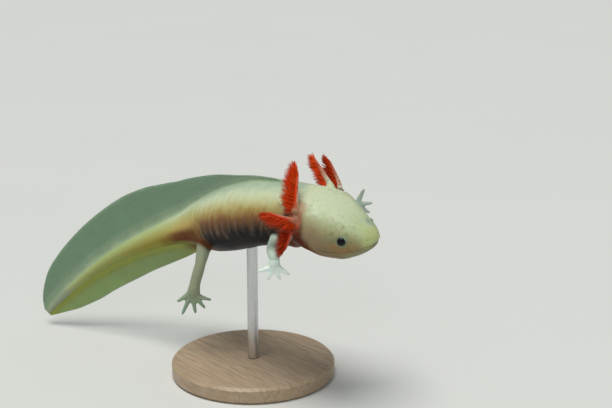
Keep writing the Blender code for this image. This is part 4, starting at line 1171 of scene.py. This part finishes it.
def filament_tree():
    """Geometry Nodes: one tapered, bent filament on every point, along the point's own aim."""
    tree = bpy.data.node_groups.new("Gill filaments", "GeometryNodeTree")
    wanted = [("Geometry", "NodeSocketGeometry"), ("Material", "NodeSocketMaterial"),
              ("Root radius", "NodeSocketFloat"), ("Tip radius", "NodeSocketFloat"),
              ("Droop", "NodeSocketFloat"), ("Seed", "NodeSocketInt")]
    for name, kind in wanted:
        tree.interface.new_socket(name, in_out="INPUT", socket_type=kind)
    tree.interface.new_socket("Geometry", in_out="OUTPUT", socket_type="NodeSocketGeometry")
    nodes, links = tree.nodes, tree.links
    entry, leave = nodes.new("NodeGroupInput"), nodes.new("NodeGroupOutput")

    cone = nodes.new("GeometryNodeMeshCone")
    cone.inputs["Vertices"].default_value = FILAMENT_SIDES
    cone.inputs["Side Segments"].default_value = FILAMENT_STEPS
    cone.inputs["Depth"].default_value = 1.0
    links.new(entry.outputs["Root radius"], cone.inputs["Radius Bottom"])
    links.new(entry.outputs["Tip radius"], cone.inputs["Radius Top"])
    position, parts = nodes.new("GeometryNodeInputPosition"), nodes.new("ShaderNodeSeparateXYZ")
    links.new(position.outputs[0], parts.inputs[0])
    mark = nodes.new("GeometryNodeStoreNamedAttribute")
    mark.data_type, mark.domain = "FLOAT", "POINT"
    mark.inputs["Name"].default_value = "tipward"
    links.new(cone.outputs["Mesh"], mark.inputs["Geometry"])
    links.new(parts.outputs["Z"], mark.inputs["Value"])
    square, sway = nodes.new("ShaderNodeMath"), nodes.new("ShaderNodeMath")
    square.operation = sway.operation = "MULTIPLY"
    links.new(parts.outputs["Z"], square.inputs[0])
    links.new(parts.outputs["Z"], square.inputs[1])
    links.new(square.outputs[0], sway.inputs[0])
    links.new(entry.outputs["Droop"], sway.inputs[1])
    offset, bend = nodes.new("ShaderNodeCombineXYZ"), nodes.new("GeometryNodeSetPosition")
    links.new(sway.outputs[0], offset.inputs["X"])
    links.new(mark.outputs["Geometry"], bend.inputs["Geometry"])
    links.new(offset.outputs[0], bend.inputs["Offset"])
    round_off = nodes.new("GeometryNodeSetShadeSmooth")
    links.new(bend.outputs["Geometry"], round_off.inputs["Geometry"])

    turned = None
    for name, axis, pivot in (("aim", "Z", "AUTO"), ("lean", "X", "Z")):
        read = nodes.new("GeometryNodeInputNamedAttribute")
        align = nodes.new("FunctionNodeAlignRotationToVector")
        read.data_type = "FLOAT_VECTOR"
        read.inputs["Name"].default_value = name
        align.axis, align.pivot_axis = axis, pivot
        links.new(read.outputs["Attribute"], align.inputs["Vector"])
        if turned:
            links.new(turned, align.inputs["Rotation"])
        turned = align.outputs["Rotation"]
    reach, vary = nodes.new("GeometryNodeInputNamedAttribute"), nodes.new("FunctionNodeRandomValue")
    size = nodes.new("ShaderNodeCombineXYZ")
    reach.data_type = vary.data_type = "FLOAT"
    reach.inputs["Name"].default_value = "reach"
    vary.inputs[2].default_value, vary.inputs[3].default_value = FILAMENT_WIDTH_RANGE
    links.new(entry.outputs["Seed"], vary.inputs["Seed"])
    links.new(vary.outputs[1], size.inputs["X"])
    links.new(vary.outputs[1], size.inputs["Y"])
    links.new(reach.outputs["Attribute"], size.inputs["Z"])

    spread = nodes.new("GeometryNodeInstanceOnPoints")
    links.new(entry.outputs["Geometry"], spread.inputs["Points"])
    links.new(round_off.outputs["Geometry"], spread.inputs["Instance"])
    links.new(turned, spread.inputs["Rotation"])
    links.new(size.outputs[0], spread.inputs["Scale"])
    real, paint = nodes.new("GeometryNodeRealizeInstances"), nodes.new("GeometryNodeSetMaterial")
    links.new(spread.outputs["Instances"], real.inputs["Geometry"])
    links.new(real.outputs["Geometry"], paint.inputs["Geometry"])
    links.new(entry.outputs["Material"], paint.inputs["Material"])
    links.new(paint.outputs["Geometry"], leave.inputs["Geometry"])
    return tree


def stalk_shell(side, place):
    """Points and faces of a gill's stalk, with how far toward its tip and its red back each point lies."""
    path = gill_path(side, place, STALK_STEPS)
    t = np.linspace(0, 1, STALK_STEPS)
    slimmer = 1 - STALK_POINT_SHARE * smooth_step(t, STALK_POINT_FROM, 1.0)
    size = stalk_radius(t) * slimmer * (1 + STALK_RIB_DEPTH * np.sin(t * STALK_RIBS))
    rings = sweep(path, size, STALK_FLATNESS * size, SPINE.axes(GILLS[side, place][0][0])[1], STALK_SIDES)
    verts, faces = tube(rings, last=path[-1] + STALK_POINT * unit(path[-1] - path[-2]))
    way = gill_back(side, place)
    turned = [(ring - centre) @ way / radius for ring, centre, radius in zip(rings, path, size)]
    back = smooth_step(np.append(np.ravel(turned), (0.0, 0.0)), *GILL_BACK_TURN)
    return verts, faces, np.append(np.repeat(t, STALK_SIDES), (0.0, 1.0)), back


def stalk_material(settings):
    n = Nodes("gill_stalk")
    tipward = n.number("tipward")
    mottle = n.noise(n.place(), 520.0, 4.0)
    red = tuple(settings.colour)
    front = n.mix(n.span(tipward, 0.25, 0.8), (0.56, 0.58, 0.42), (0.56, 0.16, 0.10))
    colour = n.mix(n.number("gill_back"), front, red)
    colour = n.mix(n.span(mottle, 0.45, 0.7, 0.0, 0.3), colour, (0.62, 0.2, 0.1))
    # Painted shade: the stalks of the middle and lower gills darker
    colour = n.mix(n.math("MULTIPLY_ADD", n.number("painted_light"), -0.6, 0.6), colour, (0.26, 0.02, 0.008))
    veins = n.span(n.cells(n.place((1, 1, 0.4)), 900.0, "SMOOTH_F1"), 0.5, 0.2, 0.0, 0.5)
    colour = n.mix(veins, colour, tuple(0.6 * c for c in red))
    surface = n.group(moist_surface_group(), Depth=0.00005)
    n.set(Base_Color=colour, Roughness=surface.outputs["Roughness"], Normal=surface.outputs["Normal"],
          Subsurface_Weight=0.25, Subsurface_Radius=(1.0, 0.2, 0.1), Subsurface_Scale=0.0006,
          IOR=1.36, Coat_Weight=0.12, Coat_Roughness=0.2, Specular_IOR_Level=0.3)
    return n.material


def filament_material(settings):
    n = Nodes("gill_filaments")
    tipward = n.number("tipward")
    patch = n.noise(n.place(), 380.0, 3.0)
    red = tuple(settings.colour)
    # Painted shade: the filaments darker toward their roots, inside the filament mass
    colour = n.mix(n.span(tipward, 0.0, 0.7), tuple(0.6 * c for c in red), red)
    colour = n.mix(n.span(patch, 0.42, 0.7, 0.0, 0.5), colour, (0.86, 0.13, 0.025))
    painted_light = n.number("painted_light")
    # Painted shade on the middle and lower gills' filaments, and a brighter orange-red on the upper ones
    colour = n.mix(n.math("MULTIPLY_ADD", painted_light, -0.85, 0.85), colour, (0.22, 0.012, 0.004))
    colour = n.mix(n.math("MULTIPLY", painted_light, 0.3), colour, (1.0, 0.12, 0.01))
    colour = n.mix(n.span(tipward, 0.7, 1.0, 0.0, 0.5), colour, (0.30, 0.10, 0.08))
    surface = n.group(moist_surface_group(), Depth=0.00002, Roughness=0.4)
    n.set(Base_Color=colour, Roughness=surface.outputs["Roughness"], Normal=surface.outputs["Normal"],
          IOR=1.34, Alpha=n.span(tipward, 0.6, 1.0, 1.0, 0.45), Specular_IOR_Level=0.15,
          Subsurface_Weight=0.2, Subsurface_Radius=(1.0, 0.15, 0.06), Subsurface_Scale=0.0004)
    return n.material


class AXOLOTL_OT_gills(bpy.types.Operator):
    """Builds the six gills: a fleshy stalk each, with rows of fine filaments grown along it"""

    bl_idname = "axolotl.gills"
    bl_label = "Build the gills"

    def execute(self, context):
        settings = context.scene.axolotl_gills
        stalks, filaments, tree = stalk_material(settings), filament_material(settings), filament_tree()
        values = {"Material": filaments, "Root radius": settings.root_radius,
                  "Tip radius": settings.tip_radius, "Droop": settings.droop, "Seed": settings.seed}
        for side, place in GILLS:
            verts, faces, tipward, back = stalk_shell(side, place)
            stalk = new_object(f"stalk_{side}_{place}", verts, faces)
            set_values(stalk.data, "tipward", tipward)
            set_values(stalk.data, "gill_back", back)
            set_values(stalk.data, "painted_light", np.full(len(verts), GILL_PAINTED_LIGHT[place]))
            finish_piece(stalk, [f"gill_{side}_{place}"], stalks)
            roots, aims, leans, reaches = filament_points(side, place, settings)
            feather = new_object(f"filaments_{side}_{place}", roots, [])
            set_vectors(feather.data, "aim", aims)
            set_vectors(feather.data, "lean", leans)
            set_values(feather.data, "reach", reaches * METRES)
            grow = feather.modifiers.new("filaments", "NODES")
            grow.node_group = tree
            for socket in tree.interface.items_tree:
                if socket.in_out == "INPUT" and socket.name in values:
                    grow[socket.identifier] = values[socket.name]
            freeze(feather)
            set_values(feather.data, "painted_light", np.full(len(feather.data.vertices), GILL_PAINTED_LIGHT[place]))
            finish_piece(feather, [], filaments)
        return {"FINISHED"}


def eye_ball(name, side, radius):
    """An eyeball with a slight bulge at its pupil, marked with how far each point is from its axis."""
    centre = SPINE.point(EYE_AT, side * EYE_ACROSS, EYE_ABOVE)
    _, forward, left, up = SPINE.axes(EYE_AT)
    axis = unit(side * left + EYE_FORWARD * forward + EYE_UPWARD * up)
    a, b = across_pair(axis, up)
    turns = np.linspace(0, 2 * np.pi, EYE_SIDES, endpoint=False)
    angles = np.linspace(0, np.pi, EYE_STEPS + 1)[1:-1]
    swell = radius * (1 + PUPIL_BULGE * bell(angles, PUPIL_WIDTH))
    circle = np.cos(turns)[:, None] * a + np.sin(turns)[:, None] * b
    rings = [centre + r * (math.cos(angle) * axis + math.sin(angle) * circle)
             for angle, r in zip(angles, swell)]
    verts, faces = tube(rings, first=centre + axis * radius * (1 + PUPIL_BULGE), last=centre - axis * radius)
    obj = new_object(name, verts, faces)
    from_axis = np.append(np.repeat(angles, len(turns)), (0.0, np.pi))
    set_values(obj.data, "from_axis", from_axis)
    set_values(obj.data, "upward", [(v - centre)[2] / radius for v in np.array(verts)])
    return obj


class AXOLOTL_OT_eyes(bpy.types.Operator):
    """Builds the two dark wet eyes with their thin pale rings"""

    bl_idname = "axolotl.eyes"
    bl_label = "Build the eyes"

    def execute(self, context):
        settings = context.scene.axolotl_eyes
        n = Nodes("eye")
        from_axis = n.number("from_axis")
        streaks = n.noise(n.place(), 2600.0, 3.0)
        ring = n.math("MULTIPLY", n.span(from_axis, 0.95, 1.08), n.span(from_axis, 1.42, 1.3))
        ring = n.math("MULTIPLY", ring, n.span(n.number("upward"), -0.5, 0.6, 0.25, 1.0))
        ring = n.math("MULTIPLY", ring, n.span(streaks, 0.3, 0.65, 0.45, 1.0))
        iris = n.mix(n.span(from_axis, 0.6, 0.8), (0.004, 0.004, 0.005), (0.02, 0.019, 0.017))
        colour = n.mix(ring, iris, tuple(settings.ring))
        n.set(Base_Color=colour, Roughness=0.2, IOR=1.33, Specular_IOR_Level=0.2, Coat_Weight=0.12,
              Coat_Roughness=0.04)
        for side, name in ((-1, "right"), (1, "left")):
            ball = eye_ball(f"eyeball_{name}", side, settings.radius / METRES)
            finish_piece(ball, [f"eye_{name}"], n.material)
        return {"FINISHED"}


def wood_material():
    n = Nodes("base_wood")
    grain = n.noise(n.place((14.0, 160.0, 160.0)), 6.0, 6.0, 0.62)
    broad = n.noise(n.place((9.0, 60.0, 60.0)), 2.2, 3.0)
    pores = n.cells(n.place((60.0, 900.0, 900.0)), 1.0)
    colour = n.mix(n.span(grain, 0.3, 0.7), (0.34, 0.24, 0.15), (0.52, 0.40, 0.27))
    colour = n.mix(n.span(broad, 0.35, 0.7, 0.0, 0.5), colour, (0.42, 0.30, 0.19))
    colour = n.mix(n.span(pores, 0.22, 0.08, 0.0, 0.4), colour, (0.2, 0.13, 0.08))
    n.set(Base_Color=colour, Roughness=n.span(grain, 0.3, 0.7, 0.5, 0.38), IOR=1.45,
          Normal=n.bump(grain, 0.00012, 0.35), Coat_Weight=0.15, Coat_Roughness=0.25)
    return n.material


def steel_material():
    n = Nodes("rod_steel")
    brush = n.noise(n.place((900.0, 900.0, 30.0)), 3.0, 3.0)
    n.set(Base_Color=n.mix(n.span(brush, 0.3, 0.7), (0.52, 0.53, 0.54), (0.7, 0.7, 0.71)), Metallic=1.0,
          Roughness=n.span(brush, 0.3, 0.7, 0.24, 0.38), Normal=n.bump(brush, 0.00003, 0.4))
    return n.material


class AXOLOTL_OT_stand(bpy.types.Operator):
    """Gives the display stand its wood and its brushed steel"""

    bl_idname = "axolotl.stand"
    bl_label = "Finish the stand"

    def execute(self, context):
        for name, material in (("stand_base", wood_material()), ("stand_rod", steel_material())):
            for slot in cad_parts[name].material_slots:
                slot.material = material
        return {"FINISHED"}


def camera_place():
    """Where the camera stands, in millimetres, and the way it looks."""
    azimuth, elevation = math.radians(CAMERA_AZIMUTH), math.radians(CAMERA_ELEVATION)
    view = -np.array([math.sin(azimuth) * math.cos(elevation), -math.cos(azimuth) * math.cos(elevation),
                      math.sin(elevation)])
    right = unit(np.cross(view, (0, 0, 1)))
    up = np.cross(right, view)
    dx, dy = ((pixel - size / 2) / FOCAL_PIXELS for pixel, size in zip(SNOUT_PIXEL, PICTURE))
    away = FOCAL_PIXELS * MM_PER_PIXEL_AT_SNOUT
    return SNOUT_AT - away * (view + right * dx - up * dy), view


def area_light(name, at, aim, size, power, colour):
    data = bpy.data.lights.new(name, "AREA")
    data.size, data.energy, data.color = size, power, colour
    obj = bpy.data.objects.new(name, data)
    obj.location = at
    obj.rotation_euler = (Vector(aim) - Vector(at)).to_track_quat("-Z", "Y").to_euler()
    bpy.context.scene.collection.objects.link(obj)


def floor_sheet(settings):
    """The floor, in two shades of the chosen colour."""
    n = Nodes("floor")
    dust = n.noise(n.place(), 8.0, 4.0)
    worn = tuple(FLOOR_DUST_SHARE * c for c in settings.floor)
    n.set(Base_Color=n.mix(dust, tuple(settings.floor), worn), Roughness=0.8)
    corners = [(x * FLOOR_REACH, y * FLOOR_REACH, 0) for x, y in ((-1, -1), (1, -1), (1, 1), (-1, 1))]
    floor = new_object("floor", corners, [(0, 1, 2, 3)], smooth=False)
    floor.data.materials.append(n.material)
    return floor


def studio_world(scene):
    world = bpy.data.worlds.new("studio")
    scene.world = world
    world.use_nodes = True
    background = world.node_tree.nodes["Background"]
    background.inputs["Color"].default_value = WORLD_COLOUR
    background.inputs["Strength"].default_value = WORLD_STRENGTH


def key_light(scene, strength):
    sun = bpy.data.lights.new("key", "SUN")
    sun.energy, sun.angle, sun.color = strength, math.radians(KEY_SPREAD_DEGREES), KEY_COLOUR
    key = bpy.data.objects.new("key", sun)
    key.rotation_euler = Vector(KEY_AIM).to_track_quat("-Z", "Y").to_euler()
    scene.collection.objects.link(key)


def photo_camera(scene):
    """A camera that sees the model from where the photo was taken."""
    place, view = camera_place()
    data = bpy.data.cameras.new("camera")
    data.sensor_width = SENSOR_WIDTH
    data.lens = FOCAL_PIXELS / PICTURE[0] * data.sensor_width
    data.clip_start, data.clip_end = NEAREST_SEEN, FARTHEST_SEEN
    camera = bpy.data.objects.new("camera", data)
    camera.location = Vector(place * METRES)
    camera.rotation_euler = Vector(view).to_track_quat("-Z", "Y").to_euler()
    scene.collection.objects.link(camera)
    scene.camera = camera


class AXOLOTL_OT_stage(bpy.types.Operator):
    """Sets up the pale floor, the soft lights and the camera"""

    bl_idname = "axolotl.stage"
    bl_label = "Set up the stage"

    def execute(self, context):
        settings = context.scene.axolotl_stage
        floor = floor_sheet(settings)
        studio_world(context.scene)
        key_light(context.scene, settings.key)
        area_light("side", SIDE_LIGHT_AT, SIDE_LIGHT_AIM, SIDE_LIGHT_SIZE, SIDE_LIGHT_POWER,
                   SIDE_LIGHT_COLOUR)
        context.scene.view_settings.view_transform = "Standard"
        photo_camera(context.scene)
        return {"FINISHED"}


GROUPS = {"axolotl_skin": SkinSettings, "axolotl_fins": FinSettings, "axolotl_gills": GillSettings,
          "axolotl_eyes": EyeSettings, "axolotl_stage": StageSettings}
OPERATORS = (AXOLOTL_OT_skin, AXOLOTL_OT_fins, AXOLOTL_OT_gills, AXOLOTL_OT_eyes, AXOLOTL_OT_stand,
             AXOLOTL_OT_stage)


class AXOLOTL_PT_panel(bpy.types.Panel):
    bl_idname = "AXOLOTL_PT_panel"
    bl_label = "Axolotl"
    bl_space_type = "VIEW_3D"
    bl_region_type = "UI"
    bl_category = "Axolotl"

    def draw(self, context):
        for name, group in GROUPS.items():
            box = self.layout.box()
            for field in group.__annotations__:
                box.prop(getattr(context.scene, name), field)
        for operator in OPERATORS:
            self.layout.operator(operator.bl_idname)


def register():
    for group in (*GROUPS.values(), *OPERATORS, AXOLOTL_PT_panel):
        bpy.utils.register_class(group)
    for name, group in GROUPS.items():
        setattr(bpy.types.Scene, name, bpy.props.PointerProperty(type=group))


def unregister():
    for name in GROUPS:
        delattr(bpy.types.Scene, name)
    for group in reversed((*GROUPS.values(), *OPERATORS, AXOLOTL_PT_panel)):
        bpy.utils.unregister_class(group)


def main():
    register()
    bpy.ops.axolotl.skin()
    bpy.ops.axolotl.fins()
    bpy.ops.axolotl.gills()
    bpy.ops.axolotl.eyes()
    bpy.ops.axolotl.stand()
    bpy.ops.axolotl.stage()


if __name__ == "__main__":
    main()
